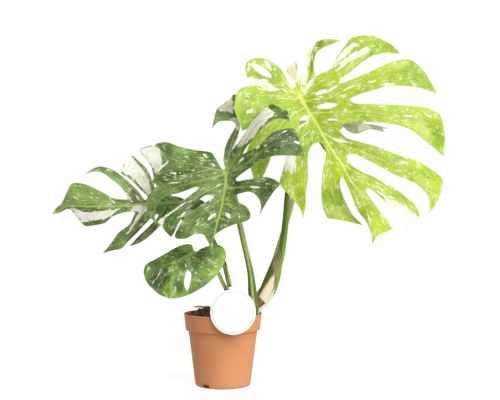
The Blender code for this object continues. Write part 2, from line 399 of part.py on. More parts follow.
def make_pot():
    profile = [(0, 0)] + POT_OUTSIDE + POT_INSIDE + [(0, POT_FLOOR)]
    pot = turned("pot", profile, POT_SEGMENTS, "pot")
    pot.data.set_sharp_from_angle(angle=POT_SHARP_EDGE)
    for number, degrees in enumerate(DRAIN_SLOT_ANGLES):
        angle = math.radians(degrees)
        spot = Vector((math.cos(angle), math.sin(angle), 0)) * DRAIN_SLOT_REACH
        spot.z = DRAIN_SLOT_HEIGHT
        size = Matrix.Diagonal((*(s * CM for s in DRAIN_SLOT_SIZE), 1))
        place = Matrix.Translation(spot * CM) @ Matrix.Rotation(angle + math.pi / 2, 4, "Z") @ size
        mesh = bpy.data.meshes.new("slot_cutter")
        shape = bmesh.new()
        bmesh.ops.create_cube(shape, size=1.0, matrix=place)
        shape.to_mesh(mesh)
        shape.free()
        cutter = bpy.data.objects.new(f"slot_cutter_{number}", mesh)
        bpy.context.scene.collection.objects.link(cutter)
        combine(pot, cutter, "DIFFERENCE")


def soil_height(x, y):
    """The lumpy mound of the soil, highest near the plant, with a hump at the back left."""
    share = min(1.0, math.hypot(x, y) / SOIL_RINGS[0])
    lumps = noise.noise(Vector((x * SOIL_LUMPS[0], y * SOIL_LUMPS[0], SOIL_LUMPS[1])))
    crumbs = noise.noise(Vector((x * SOIL_CRUMBS[0], y * SOIL_CRUMBS[0], SOIL_CRUMBS[1])))
    fade = 1.0 if share < 0.9 else 0.5
    rough = SOIL_ROUGHNESS * fade * (lumps + SOIL_CRUMB_SHARE * crumbs)
    hump_x, hump_y, hump_height, hump_width = SOIL_HUMP
    hump = hump_height * math.exp(-((x - hump_x)**2 + (y - hump_y)**2) / hump_width**2)
    return SOIL_EDGE + SOIL_MOUND * (1 - share**2) + rough + hump * (1 - share**6)


def make_soil():
    wall = [(radius - GAP, height) for radius, height in reversed(POT_INSIDE[1:-1])]
    wall.insert(0, (wall[0][0] - 0.3, POT_FLOOR + GAP))
    wall.append((POT_INSIDE[0][0] - GAP - 0.06, SOIL_EDGE - 0.15))
    mound = [(radius, SOIL_EDGE) for radius in SOIL_RINGS] + [(0, SOIL_EDGE)]
    profile = [(0, POT_FLOOR + GAP)] + wall + mound
    soil = turned("soil", profile, POT_SEGMENTS, "soil")
    for vertex in soil.data.vertices:
        x, y, z = (c / CM for c in vertex.co)
        if z > SOIL_EDGE - 0.01:
            vertex.co.z = soil_height(x, y) * CM
    return soil


def frames(rows, step):
    """Centres, sideways and forward axes and radii along a smooth path."""
    curve = spline([tuple(r) for r in rows], step)
    centres, radii = curve[:, :3], curve[:, 3:]
    tangents = np.gradient(centres, axis=0)
    tangents /= np.linalg.norm(tangents, axis=1)[:, None]
    side = np.array((1.0, 0, 0))
    sides = []
    for tangent in tangents:
        side = side - tangent * side.dot(tangent)
        side /= np.linalg.norm(side)
        sides.append(side)
    sides = np.array(sides)
    return centres, sides, np.cross(tangents, sides), radii


def tube(name, rows, sides, step, paint, grow=0.0):
    """A closed tube of elliptic section along a path."""
    centres, across, deep, radii = frames(rows, step)
    count = len(centres)
    points, faces = [], []
    for c, a, d, r in zip(centres, across, deep, radii + grow):
        for k in range(sides):
            angle = 2 * math.pi * k / sides
            points.append(c + a * r[0] * math.cos(angle) + d * r[1] * math.sin(angle))
    for row in range(count - 1):
        for k in range(sides):
            after = (k + 1) % sides
            low, high = row * sides, (row + 1) * sides
            faces.append((low + k, low + after, high + after, high + k))
    faces.append(tuple(reversed(range(sides))))
    faces.append(tuple(range((count - 1) * sides, count * sides)))
    return solid(name, points, faces, paint)


def at_height(parts, height):
    """Centre, sideways and forward axes, radii and direction of a tube where it passes a height."""
    centres, across, deep, radii = parts
    row = next(i for i in range(len(centres) - 1) if centres[i + 1][2] > height)
    share = (height - centres[row][2]) / (centres[row + 1][2] - centres[row][2])
    mixed = [(1 - share) * part[row] + share * part[row + 1] for part in parts]
    axis = centres[row + 1] - centres[row]
    return (*mixed, axis / np.linalg.norm(axis))


def husk(name, rows, start, end, first, last, thickness):
    """A dried sheath that hugs one side of a petiole between two heights and runs out to a point."""
    parts = frames(rows, PETIOLE_STEP)
    levels = np.arange(start, end + 0.01, HUSK_STEP)
    columns = HUSK_COLUMNS
    inner, outer = [], []
    for level in levels:
        centre, side, forward, radius, _ = at_height(parts, level)
        share = (level - levels[0]) / (levels[-1] - levels[0])
        narrow = 1 - HUSK_NARROWING * share**2
        middle, half = (first + last) / 2, (last - first) / 2 * narrow
        for k in range(columns):
            angle = math.radians(middle + half * (2 * k / (columns - 1) - 1))
            ring = side * math.cos(angle) * (radius[0] + HUSK_GAP)
            ring = ring + forward * math.sin(angle) * (radius[1] + HUSK_GAP)
            out = ring / np.linalg.norm(ring)
            inner.append(centre + ring)
            outer.append(centre + ring + out * thickness * (1 + share))
    size = len(inner)
    faces = []
    for row in range(len(levels) - 1):
        for k in range(columns - 1):
            a, b = row * columns + k, (row + 1) * columns + k
            faces += [(a, b, b + 1, a + 1), (size + a, size + a + 1, size + b + 1, size + b)]
    for k in range(columns - 1):
        a, b = k, (len(levels) - 1) * columns + k
        faces += [(a, a + 1, size + a + 1, size + a), (b + 1, b, size + b, size + b + 1)]
    for row in range(len(levels) - 1):
        a, b = row * columns, (row + 1) * columns
        faces += [(b, a, size + a, size + b)]
        a, b = a + columns - 1, b + columns - 1
        faces += [(a, b, size + b, size + a)]
    return solid(name, inner + outer, faces, "husk")


def thin_plate(controls):
    """A smooth surface through scattered heights, as a function of plane points."""
    spots, heights = np.array(controls)[:, :2], np.array(controls)[:, 2]

    def bend(a, b):
        far = np.linalg.norm(a[:, None, :] - b[None, :, :], axis=2)
        return np.where(far > 1e-9, far**2 * np.log(np.maximum(far, 1e-9)), 0.0)

    count = len(spots)
    system = np.zeros((count + 3, count + 3))
    system[:count, :count] = bend(spots, spots) + np.eye(count) * PLATE_SMOOTHING
    system[:count, count:] = np.hstack([np.ones((count, 1)), spots])
    system[count:, :count] = system[:count, count:].T
    weights = np.linalg.solve(system, np.concatenate([heights, np.zeros(3)]))
    return lambda p: bend(p, spots) @ weights[:count] + weights[count] + p @ weights[count + 1:]


def away_from(points, line):
    """Distance of plane points from a polyline, and the share of its length at the nearest spot."""
    best = np.full(len(points), 1e9)
    share = np.zeros(len(points))
    lengths = np.linalg.norm(np.diff(line, axis=0), axis=1)
    done = 0.0
    for a, b, length in zip(line[:-1], line[1:], lengths):
        t = np.clip(((points - a) @ (b - a)) / max(length**2, 1e-12), 0, 1)
        far = np.linalg.norm(points - (a + t[:, None] * (b - a)), axis=1)
        nearer = far < best
        best[nearer] = far[nearer]
        share[nearer] = ((done + t * length) / lengths.sum())[nearer]
        done += length
    return best, share


def inside(points, loop):
    """Which plane points lie inside a closed loop."""
    x, y = points[:, 0], points[:, 1]
    odd = np.zeros(len(points), bool)
    for a, b in zip(loop, np.roll(loop, -1, axis=0)):
        crosses = (a[1] > y) != (b[1] > y)
        with np.errstate(divide="ignore", invalid="ignore"):
            odd ^= crosses & (x < (b[0] - a[0]) * (y - a[1]) / (b[1] - a[1]) + a[0])
    return odd


def ellipse(x, z, length, width, degrees):
    turn = math.radians(degrees)
    loop = []
    for k in range(HOLE_SIDES):
        angle = 2 * math.pi * k / HOLE_SIDES
        u, v = length / 2 * math.cos(angle), width / 2 * math.sin(angle)
        across = x + u * math.cos(turn) - v * math.sin(turn)
        loop.append((across, z + u * math.sin(turn) + v * math.cos(turn)))
    return np.array(loop)


def seen_from_eye(flat, depth):
    """Plane points (x, z) as seen from the eye, moved back or forward along the line of sight."""
    scale = (depth - EYE[1]) / -EYE[1]
    x = EYE[0] + (flat[:, 0] - EYE[0]) * scale
    z = EYE[2] + (flat[:, 1] - EYE[2]) * scale
    return np.stack([x, depth, z], axis=1)


def blade_surface(leaf, place):
    """The blade's middle surface, quilted between its veins, as a function of plane points."""
    controls = list(leaf["midrib"]) + [row for vein in leaf["veins"] for row in vein[1:]]
    plate = thin_plate(controls)
    lines = [np.array(line)[:, :2] for line in [leaf["midrib"]] + leaf["veins"]]

    def surface(flat):
        near = np.min([away_from(flat, line)[0] for line in lines], axis=0)
        lift = QUILT * (1 - np.exp(-(near / QUILT_REACH) ** 2)) * leaf["up"]
        return place(flat, plate(flat) + lift)

    return surface


def blade_layout(leaf):
    """Edge loops, vein lines and a grid of inner points, all in the blade's own plane."""
    loops = [spline(leaf["outline"], BLADE_EDGE_STEP, closed=True)]
    loops += [spline(slit, BLADE_EDGE_STEP, closed=True) for slit in leaf.get("slits", [])]
    loops += [ellipse(*hole) for hole in leaf["holes"]]
    lines = [spline([row[:2] for row in line], BLADE_GRID) for line in [leaf["midrib"]] + leaf["veins"]]
    low, high = loops[0].min(axis=0), loops[0].max(axis=0)
    rows = []
    for j, v in enumerate(np.arange(low[1], high[1], BLADE_GRID * 0.87)):
        for u in np.arange(low[0] + (j % 2) * BLADE_GRID / 2, high[0], BLADE_GRID):
            rows.append((u, v))
    grid = np.array(rows)
    keep = inside(grid, loops[0])
    for loop in loops[1:]:
        keep &= ~inside(grid, loop)
    for loop in loops:
        keep &= away_from(grid, np.vstack([loop, loop[:1]]))[0] > BLADE_GRID * 0.5
    for line in lines:
        keep &= away_from(grid, line)[0] > BLADE_GRID * 0.5
    return loops, lines, grid[keep]


def rib_depths(flat, leaf):
    """How far the midrib and the veins stand out below the blade."""
    near, share = away_from(flat, np.array(leaf["midrib"])[:, :2])
    depth = MIDRIB_DEPTH * (1 - 0.8 * share) * np.clip(1 - near / MIDRIB_HALF_WIDTH, 0, 1)
    for vein in leaf["veins"]:
        near, share = away_from(flat, np.array(spline([row[:2] for row in vein], BLADE_GRID)))
        depth = np.maximum(depth, VEIN_DEPTH * (1 - 0.7 * share) * (near < 0.02))
    return depth


def make_blade(name, leaf, place, paint):
    """One thin solid: the same triangles on both faces, and a strip round every edge."""
    loops, lines, grid = blade_layout(leaf)
    points, edges = [], []
    for loop in loops:
        start = len(points)
        points += list(loop)
        edges += [(start + k, start + (k + 1) % len(loop)) for k in range(len(loop))]
    for line in lines:
        kept = [p for p in line if inside(np.array([p]), loops[0])[0]]
        start = len(points)
        points += kept
        edges += [(start + k, start + k + 1) for k in range(len(kept) - 1)]
    points += list(grid)
    result = geometry.delaunay_2d_cdt([Vector(p) for p in points], edges, [], 0, WELD)
    flat = np.array([tuple(v) for v in result[0]])
    tris = np.array([tuple(f) for f in result[2]])
    middles = flat[tris].mean(axis=1)
    keep = inside(middles, loops[0])
    for loop in loops[1:]:
        keep &= ~inside(middles, loop)
    tris = tris[keep]
    used = np.unique(tris)
    flat, tris = flat[used], np.searchsorted(used, tris)
    surface = blade_surface(leaf, place)
    middle = surface(flat)
    corners = middle[tris]
    across = np.cross(corners[:, 1] - corners[:, 0], corners[:, 2] - corners[:, 0])
    normals = np.zeros_like(middle)
    for k in range(3):
        np.add.at(normals, tris[:, k], across)
    normals /= np.linalg.norm(normals, axis=1)[:, None]
    if normals.mean(axis=0).dot(leaf["face"]) < 0:
        normals = -normals
        tris = tris[:, ::-1]
    count = len(middle)
    upper = middle + normals * BLADE_HALF
    lower = middle - normals * (BLADE_HALF + rib_depths(flat, leaf))[:, None]
    faces = [tuple(t) for t in tris] + [tuple(t[::-1] + count) for t in tris]
    sides = {(t[k], t[(k + 1) % 3]) for t in tris for k in range(3)}
    rim = sorted((a, b) for a, b in sides if (b, a) not in sides)
    for a, b in rim:
        faces += [(b, a, a + count), (b, a + count, b + count)]
    return solid(name, list(upper) + list(lower), [tuple(int(i) for i in f) for f in faces], paint)


def petiole_rows(key, leaf, place):
    """A petiole's path, ended by the knee that meets the back of its blade at the midrib's root."""
    root = np.array([leaf["midrib"][0][:2]])
    surface = blade_surface(leaf, place)
    spots = np.vstack([root, root + (ROOT_PROBE, 0), root + (0, ROOT_PROBE)])
    a, b, c = surface(spots)
    normal = np.cross(b - a, c - a)
    normal /= np.linalg.norm(normal)
    back = -normal if normal.dot(leaf["face"]) > 0 else normal
    radius, bend = KNEE[key]
    end = a + back * (BLADE_HALF + MIDRIB_DEPTH + GAP)
    before = end + back * bend
    rows = list(PETIOLES[key])
    rows.append((*before, radius, radius))
    rows.append((*end, radius * 0.95, radius * 0.95))
    return rows


def mirrored_leaf():
    """The hidden blade from its half outline."""
    other = [(p[0], -p[1], *p[2:]) for p in reversed(E_HALF_OUTLINE)]
    veins = [list(vein) for vein in E_HALF_VEINS]
    for vein, rises in zip(E_HALF_VEINS, E_FRONT_RISE):
        veins.append([(u, -v, h + rise) for (u, v, h), rise in zip(vein, rises)])
    return {"outline": E_HALF_OUTLINE + [(E_LENGTH, 0, TIP)] + other, "holes": [], "midrib": E_MIDRIB,
            "veins": veins}


def own_plane(flat, height):
    up = np.cross(E_ALONG, E_ACROSS)
    return E_ORIGIN + flat[:, :1] * E_ALONG + flat[:, 1:] * E_ACROSS + height[:, None] * up


def make_tag(petiole):
    """A round card that leans on the rim, with a strap and a loop round one petiole, in one piece."""
    lean = Matrix.Rotation(-TAG_LEAN, 3, "X")
    front = -POT_RIM_RADIUS - GAP - TAG_THICKNESS / math.cos(TAG_LEAN) / 2
    middle = Vector((TAG_CENTRE[0], front + (TAG_CENTRE[1] - POT_HEIGHT) * math.tan(TAG_LEAN), TAG_CENTRE[1]))
    points, faces = [], []
    for side in (-1, 1):
        for k in range(TAG_SEGMENTS):
            angle = 2 * math.pi * k / TAG_SEGMENTS
            rim = Vector((math.cos(angle), 0, math.sin(angle))) * TAG_RADIUS
            rim.y = side * TAG_THICKNESS / 2
            points.append(middle + lean @ rim)
    n = TAG_SEGMENTS
    faces = [tuple(range(n)), tuple(reversed(range(n, 2 * n)))]
    faces += [((k + 1) % n, k, n + k, n + (k + 1) % n) for k in range(n)]
    tag = solid("tag", points, faces, "tag", smooth=False)
    centre, side, forward, radius, axis = at_height(frames(petiole, PETIOLE_STEP), LOOP_PLACE)
    loop = []
    for height in (-LOOP_HEIGHT / 2, LOOP_HEIGHT / 2):
        for more in (LOOP_GAP, LOOP_GAP + STRAP_THICKNESS):
            for k in range(LOOP_SIDES):
                angle = 2 * math.pi * k / LOOP_SIDES
                reach = side * math.cos(angle) * (radius[0] + more)
                reach = reach + forward * math.sin(angle) * (radius[1] + more)
                loop.append(centre + reach + axis * height)
    faces = []
    for k in range(LOOP_SIDES):
        after = (k + 1) % LOOP_SIDES
        for a, b in ((0, 2), (3, 1), (1, 0), (2, 3)):
            first, second = a * LOOP_SIDES, b * LOOP_SIDES
            faces.append((first + k, second + k, second + after, first + after))
    ring = solid("tag_loop", loop, faces, "tag")
    top = middle + lean @ Vector((0, 0, TAG_RADIUS - STRAP_INSET))
    low = np.array(top)
    loop_front = centre - forward * (radius[1] + LOOP_GAP + STRAP_THICKNESS / 2)
    reach = np.linalg.norm(loop_front - low)
    towards = (loop_front - low) / reach
    rows = [low, low + towards * reach / 2 + np.array((0, 0, STRAP_SAG)), low + towards * reach]
    sideways = np.array((1.0, 0, 0)) - towards * towards[0]
    sideways /= np.linalg.norm(sideways)
    upwards = np.cross(sideways, towards)
    strip = []
    for row in rows:
        for s, u in ((-1, -1), (1, -1), (1, 1), (-1, 1)):
            strip.append(row + sideways * s * STRAP_WIDTH / 2 + upwards * u * STRAP_THICKNESS / 2)
    faces = [(3, 2, 1, 0), (8, 9, 10, 11)]
    for row in (0, 4):
        faces += [(row + k, row + (k + 1) % 4, row + 4 + (k + 1) % 4, row + 4 + k) for k in range(4)]
    strap = solid("tag_strap", strip, faces, "tag", smooth=False)
    combine(tag, strap, "UNION")
    combine(tag, ring, "UNION")


def make_scrap(soil):
    """A curled scrap of dry leaf, lowered onto the soil's hump."""
    curve = spline(SCRAP_PATH, SCRAP_STEP)
    columns = SCRAP_COLUMNS
    shell = []
    tangents = np.gradient(curve[:, :2], axis=0)
    for (x, y, half, bow), (tx, ty) in zip(curve, tangents):
        size = math.hypot(tx, ty)
        for k in range(columns):
            side = 2 * k / (columns - 1) - 1
            rise = bow + SCRAP_CURL * side**2 * half
            shell.append((x - ty / size * side * half, y + tx / size * side * half, rise))
    ground = BVHTree.FromPolygons([v.co for v in soil.data.vertices], [p.vertices for p in soil.data.polygons])
    above, down = Vector((0, 0, 1)), Vector((0, 0, -1))
    floors = [ground.ray_cast(Vector((x, y, 0)) * CM + above, down)[0].z / CM for x, y, _ in shell]
    base = max(floor - rise for floor, (_, _, rise) in zip(floors, shell)) + GAP
    lower = [(x, y, base + rise) for x, y, rise in shell]
    upper = [(x, y, base + rise + SCRAP_THICKNESS) for x, y, rise in shell]
    size = len(lower)
    faces = []
    for row in range(len(curve) - 1):
        for k in range(columns - 1):
            a, b = row * columns + k, (row + 1) * columns + k
            faces += [(a, a + 1, b + 1, b), (size + a, size + b, size + b + 1, size + a + 1)]
        a, b = row * columns, (row + 1) * columns
        faces.append((a, b, size + b, size + a))
        a, b = a + columns - 1, b + columns - 1
        faces.append((b, a, size + a, size + b))
    for k in range(columns - 1):
        a, b = k, (len(curve) - 1) * columns + k
        faces += [(a + 1, a, size + a, size + a + 1), (b, b + 1, size + b + 1, size + b)]
    return solid("dry_scrap", lower + upper, faces, "scrap")


def main():
    clear_scene()
    make_pot()
    soil = make_soil()
    tube("stem", STEM_PATH, STEM_SIDES, STEM_STEP, "stem")
    combine(soil, tube("stem_cutter", STEM_PATH, STEM_SIDES, STEM_STEP, "stem", GAP), "DIFFERENCE")
    towards_eye, upwards = np.array((0.0, -1.0, 0.3)), np.array((0.0, 0.0, 1.0))
    leaf_e = mirrored_leaf()
    leaves = {"a": LEAF_A, "b": LEAF_B, "c": LEAF_C, "d": LEAF_D, "e": leaf_e}
    paths = {}
    for key, leaf in leaves.items():
        hidden = leaf is leaf_e
        leaf["face"] = upwards if hidden else towards_eye
        leaf["up"] = 1 if hidden else -1
        place = own_plane if hidden else seen_from_eye
        make_blade(f"leaf_{key}", leaf, place, "leaf_a" if key == "a" else "leaf")
        paths[key] = petiole_rows(key, leaf, place)
        petiole = tube(f"petiole_{key}", paths[key], PETIOLE_SIDES, PETIOLE_STEP, "petiole")
        cutter = tube(f"stem_cutter_{key}", STEM_PATH, STEM_SIDES, STEM_STEP, "stem", GAP)
        combine(petiole, cutter, "DIFFERENCE")
        foot = tube(f"foot_cutter_{key}", paths[key], PETIOLE_SIDES, PETIOLE_STEP, "petiole", GAP)
        combine(soil, foot, "DIFFERENCE")
    for name, (key, *shape) in HUSKS.items():
        husk(name, paths[key], *shape)
    make_tag(paths["c"])
    make_scrap(soil)


main()
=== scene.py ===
import math

import bpy
import numpy as np
from mathutils import Matrix, Vector, geometry, noise


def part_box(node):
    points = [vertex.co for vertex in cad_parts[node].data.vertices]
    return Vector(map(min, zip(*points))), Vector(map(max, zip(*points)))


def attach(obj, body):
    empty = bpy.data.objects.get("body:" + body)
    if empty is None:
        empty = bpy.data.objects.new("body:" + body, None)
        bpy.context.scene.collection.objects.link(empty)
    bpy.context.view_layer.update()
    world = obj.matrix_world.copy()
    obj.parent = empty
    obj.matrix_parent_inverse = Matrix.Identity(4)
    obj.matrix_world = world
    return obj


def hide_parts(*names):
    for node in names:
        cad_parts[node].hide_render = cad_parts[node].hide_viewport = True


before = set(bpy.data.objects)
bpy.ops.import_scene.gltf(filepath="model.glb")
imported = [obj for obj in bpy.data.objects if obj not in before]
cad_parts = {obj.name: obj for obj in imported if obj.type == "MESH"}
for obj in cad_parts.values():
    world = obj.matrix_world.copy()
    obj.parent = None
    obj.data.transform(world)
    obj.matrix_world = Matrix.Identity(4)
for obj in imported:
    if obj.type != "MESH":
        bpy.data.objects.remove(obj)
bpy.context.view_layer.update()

CM = 0.01
GAP = 0.03
TINY = 1e-12
SAME_SPOT = 1e-9
SLACK = 0.01
SEED = 7
EYE = np.array((5.9, -218.0, 40.3))
TOWARDS_EYE = np.array((0.0, -1.0, 0.3))
UPWARDS = np.array((0.0, 0.0, 1.0))
TIP = 1

# Pot: profiles as (radius, height)
POT_SEGMENTS = 160
POT_HEIGHT = 15.7
POT_RIM_RADIUS = 8.53
POT_FLOOR = 0.24
POT_OUTSIDE = [(5.5, 0.0), (5.86, 0.12), (6.03, 0.5), (7.4, 11.15), (7.48, 11.25), (7.48, 11.4),
               (7.43, 11.5), (7.5, 12.0), (8.08, 12.16), (8.13, 12.3), (8.42, 15.25), (8.53, 15.4),
               (POT_RIM_RADIUS, 15.6), (8.45, POT_HEIGHT), (8.31, POT_HEIGHT)]
POT_INSIDE = [(8.24, 15.55), (7.96, 12.36), (7.34, 12.18), (7.25, 11.3), (5.86, 0.55), (5.6, POT_FLOOR)]
POT_ROUNDING = (0.045, 0.4)
POT_STEP = 1.0
POT_CREASE = math.radians(50)
POT_SOILED = 0.8
POT_SOILED_RADIUS = 8.35
POT_SOILED_HEIGHTS = (14.6, 15.6)
DRAIN_SLOT_SIZE = (1.7, 1.6, 0.52)
DRAIN_SLOT_ANGLES = (-126, -6, 114)
DRAIN_SLOT_REACH = 5.9
DRAIN_SLOT_HEIGHT = 0.52

# Soil: lumps and crumbs as (noise scale, noise place), hump as (x, y, height, width). SOIL_CALM says from
# which share of the radius the soil is less rough, and how much of the roughness is left there.
SOIL_EDGE = 15.2
SOIL_MOUND = 0.85
SOIL_RADIUS = 7.6
SOIL_ROUGHNESS = 0.22
SOIL_CALM = (0.9, 0.5)
SOIL_LUMPS = (0.9, 3.1)
SOIL_CRUMBS = (2.1, 8.7)
SOIL_CRUMB_SHARE = 0.6
SOIL_HUMP = (-3.9, 3.3, 0.88, 2.2)
SOIL_GRAIN = 0.09
SOIL_GRAIN_SCALE = 3.2
SOIL_GRAIN_FRACTAL = (0.6, 2.2, 4)
SOIL_SEGMENTS = 200
SOIL_RING_COUNT = 60
SOIL_SMALLEST_RING = 0.1
SOIL_FOOT_INSET = 0.3
SOIL_TOP_INSET = (0.06, 0.15)
SOIL_CREASE = math.radians(45)

# Bark chips: how wide and thick they are for their length, how uneven, how far they tip and stand out, and
# the darkest shade and the range above it
CHIP_COUNT = 620
CHIP_REACH = 0.97
CHIP_LENGTHS = (0.25, 1.15)
CHIP_SHORTENING = (0.4, 1)
CHIP_WIDTHS = (0.3, 0.7)
CHIP_DEPTHS = (0.15, 0.4)
CHIP_UNEVEN = 0.2
CHIP_SWELL = (0.25, 0.15)
CHIP_TILTS = (0.4, 0.3)
CHIP_RISE = 0.9
CHIP_SHADES = (0.04, 0.96)

# Blades: their form, and how far their inner points keep from the veins' rows, the veins and the margin
BLADE_HALF = 0.03
MIDRIB_DEPTH = 0.34
MIDRIB_THINNING = 0.8
MIDRIB_HALF_WIDTH = 0.3
VEIN_DEPTH = 0.12
VEIN_THINNING = 0.7
VEIN_HALF_WIDTH = 0.17
SEAT_BLADE_HALF = 0.035
EDGE_STEP = 0.25
GRID = 0.34
GRID_ROW = 0.87
VEIN_STEP = 0.45
VEIN_ROWS = (0.12, 0.3)
GRID_CLEARANCE = VEIN_ROWS[-1] + GRID * 0.5
ROW_CLEARANCE = VEIN_ROWS[0] * 0.9
EDGE_CLEARANCE = EDGE_STEP * 0.4
HOLE_SIDES = 40
QUILT = 0.22
QUILT_REACH = 1.4
RIPPLE = 0.13
RIPPLE_LENGTH = 2.6
RIPPLE_REACH = 1.3
DIMPLE = 0.035
DIMPLE_LENGTH = 0.9
PLATE_SMOOTHING = 0.4
WELD = 0.015
ROOT_PROBE = 0.3

# Blades: reach of their colours. The lines along midrib and veins are half width, narrowing towards the tip,
# and where their edge starts and ends. A place of the grain's noise differs from way to way by GRAIN_SHIFT.
MIDRIB_LINE = (0.42, 0.75, 0.4, 1.15)
VEIN_LINE = (0.17, 0.5, 0.35, 1.25)
VEIN_LINE_STRENGTH = 0.8
VEIN_LINE_FADING = 0.8
KNOT_REACH = (0.35, 0.85)
# How far the painted shade beside the sunken veins reaches
VEIN_SHADE_REACH = 0.6
OVAL_EDGE = 0.6
PATCH_REACH = 1.5
STREAK_DEPTH = 0.9
EDGE_LINE = 0.14
GRAIN_WAYS = 6
GRAIN_PULL = 0.3
GRAIN_SHIFT = (31, -17)
GRAIN_SOFTNESS = 0.05
SPECK_EDGE = (0.81, 0.9)
DASH_EDGE = (0.83, 0.86)
NOISE_MIDDLE = 0.53

# Each blade's material: its name, its screen colours (deep, bright and pale green, cream, beige, vein, back,
# fleck, tan), and how ragged its cream is, how pale its back, how sparse its flecks, how streaked its cream
LEAF_SKINS = {
    "a": ("young_leaf", [(153, 189, 16), (182, 211, 34), (216, 232, 122), (252, 252, 240), (244, 242, 218),
                         (234, 238, 126), (198, 212, 138), (246, 250, 206), (218, 208, 172)],
          {"ragged_by": 3.2, "sparse": -0.01}),
    "b": ("grown_leaf", [(80, 107, 43), (108, 138, 61), (150, 180, 96), (255, 252, 232), (251, 245, 216),
                         (176, 196, 96), (150, 166, 128), (208, 220, 172), (220, 212, 182)],
          {"ragged_by": 1.9}),
    "c": ("upper_leaf", [(80, 107, 43), (108, 138, 61), (160, 190, 96), (240, 243, 230), (226, 228, 208),
                         (176, 196, 96), (150, 166, 128), (214, 226, 182), (172, 162, 130)],
          {"ragged_by": 1.9, "streaked": 0.2}),
    "d": ("small_leaf", [(78, 106, 50), (120, 164, 40), (178, 214, 76), (232, 236, 214), (214, 218, 190),
                         (166, 190, 96), (150, 166, 120), (236, 242, 214), (172, 162, 130)],
          {"ragged_by": 2.4, "sparse": 0.01}),
    # The hidden blade's pale colours and very pale back are partly painted light, for it lies in shade
    "e": ("hidden_leaf", [(92, 122, 50), (122, 152, 70), (234, 238, 208), (252, 248, 220), (244, 240, 196),
                          (176, 196, 96), (222, 228, 196), (226, 236, 196), (178, 200, 66)],
          {"ragged_by": 2.4, "pale_back": 0.9}),
}

# Each stalk's material: its name and its screen colours (dark, green, light, and for leaf A's the sheath's
# cream and the dried band's brown)
STALK_SKINS = {
    "a": ("petiole_a_skin", (80, 100, 36), (116, 142, 36), (146, 178, 52), (255, 246, 220), (140, 108, 80)),
    "b": ("petiole_skin", (84, 108, 42), (156, 180, 74), (208, 222, 152)),
    "c": ("petiole_c_skin", (58, 80, 32), (112, 142, 52), (160, 186, 92)),
    # Leaf D's and the hidden leaf's stalks are lightened beyond the others: painted light on stalks in shade
    "d": ("petiole_d_skin", (146, 172, 82), (190, 214, 116), (216, 230, 164)),
    "e": ("petiole_e_skin", (176, 198, 124), (206, 224, 156), (230, 240, 200)),
}

# Rhizome and petioles: rows of x, y, z, half width across, half depth
STEM_PATH = [(0.8, 0.6, 10.5, 0.7, 0.7), (1.8, 0.2, 13.0, 0.95, 0.95), (3.6, -0.2, 14.6, 1.05, 1.0),
             (5.4, -0.4, 15.3, 1.1, 1.05), (6.6, -0.4, 15.8, 1.0, 1.0), (7.3, -0.4, 16.2, 0.55, 0.55)]
STEM_STEP = 0.15
STEM_SIDES = 40
STEM_RINGS = (0.05, 0.45)
PETIOLE_STEP = 0.4
PETIOLE_SIDES = 32
SEAT_STEP = 2.6
PETIOLES = {
    "a": [(6.5, -0.1, 15.0, 0.75, 0.6), (7.3, -0.1, 16.3, 0.95, 0.75), (8.1, 0.0, 17.6, 1.2, 0.85),
          (9.1, 0.1, 19.3, 1.55, 0.92), (10.0, 0.2, 21.1, 1.75, 0.95), (10.9, 0.4, 23.5, 1.65, 0.9),
          (11.7, 0.7, 26.1, 1.3, 0.84), (12.9, 1.2, 29.3, 0.8, 0.74), (13.7, 2.0, 35.5, 0.7, 0.66),
          (14.3, 3.0, 42.3, 0.64, 0.6), (15.4, 4.4, 51.4, 0.58, 0.54), (16.4, 5.2, 58.6, 0.52, 0.5)],
    "b": [(6.3, -0.9, 15.2, 0.7, 0.6), (6.9, -1.7, 16.7, 0.9, 0.75), (6.6, -2.0, 18.8, 0.96, 0.8),
          (6.4, -2.2, 20.6, 0.93, 0.8), (6.2, -2.5, 23.0, 0.78, 0.72), (5.7, -3.0, 26.3, 0.66, 0.62),
          (3.7, -4.8, 35.2, 0.58, 0.54), (2.8, -5.8, 40.5, 0.52, 0.5), (1.7, -6.3, 44.2, 0.48, 0.46)],
    "c": [(3.5, -0.8, 14.6, 0.6, 0.5), (3.3, -2.2, 15.9, 0.62, 0.55), (2.9, -3.4, 17.3, 0.56, 0.5),
          (1.8, -5.2, 21.0, 0.48, 0.44), (1.0, -5.6, 24.2, 0.45, 0.42), (0.4, -5.6, 26.5, 0.44, 0.42),
          (-1.3, -4.7, 30.5, 0.43, 0.4), (-3.5, -2.6, 34.3, 0.42, 0.4), (-5.9, -0.5, 37.2, 0.4, 0.38),
          (-7.6, 0.3, 38.8, 0.4, 0.38)],
    "d": [(1.7, -0.2, 13.2, 0.5, 0.45), (1.4, -1.5, 15.2, 0.54, 0.5), (1.4, -2.3, 17.2, 0.5, 0.46),
          (0.8, -4.0, 21.0, 0.42, 0.4), (-0.1, -4.6, 23.0, 0.41, 0.39), (-0.8, -5.0, 24.6, 0.4, 0.38),
          (-2.6, -5.4, 26.8, 0.38, 0.36), (-4.7, -6.2, 28.6, 0.36, 0.35)],
    "e": [(5.3, 0.3, 15.2, 0.6, 0.5), (5.7, 1.9, 16.5, 0.7, 0.55), (7.2, 2.7, 18.6, 0.78, 0.6),
          (9.4, 2.8, 21.6, 0.75, 0.6), (11.0, 3.3, 26.0, 0.62, 0.56), (12.8, 4.3, 31.5, 0.56, 0.52),
          (14.9, 5.6, 38.1, 0.52, 0.5), (16.9, 7.0, 45.9, 0.5, 0.48), (18.7, 8.1, 51.8, 0.46, 0.45),
          (19.6, 8.9, 55.8, 0.46, 0.45)],
}

# Where each petiole bends to meet its blade: radius, and how far before its end
KNEES = {"a": (0.5, 0.9), "b": (0.46, 0.9), "c": (0.4, 0.8), "d": (0.36, 0.7), "e": (0.46, 0.9)}
KNEE_TAPER = 0.95

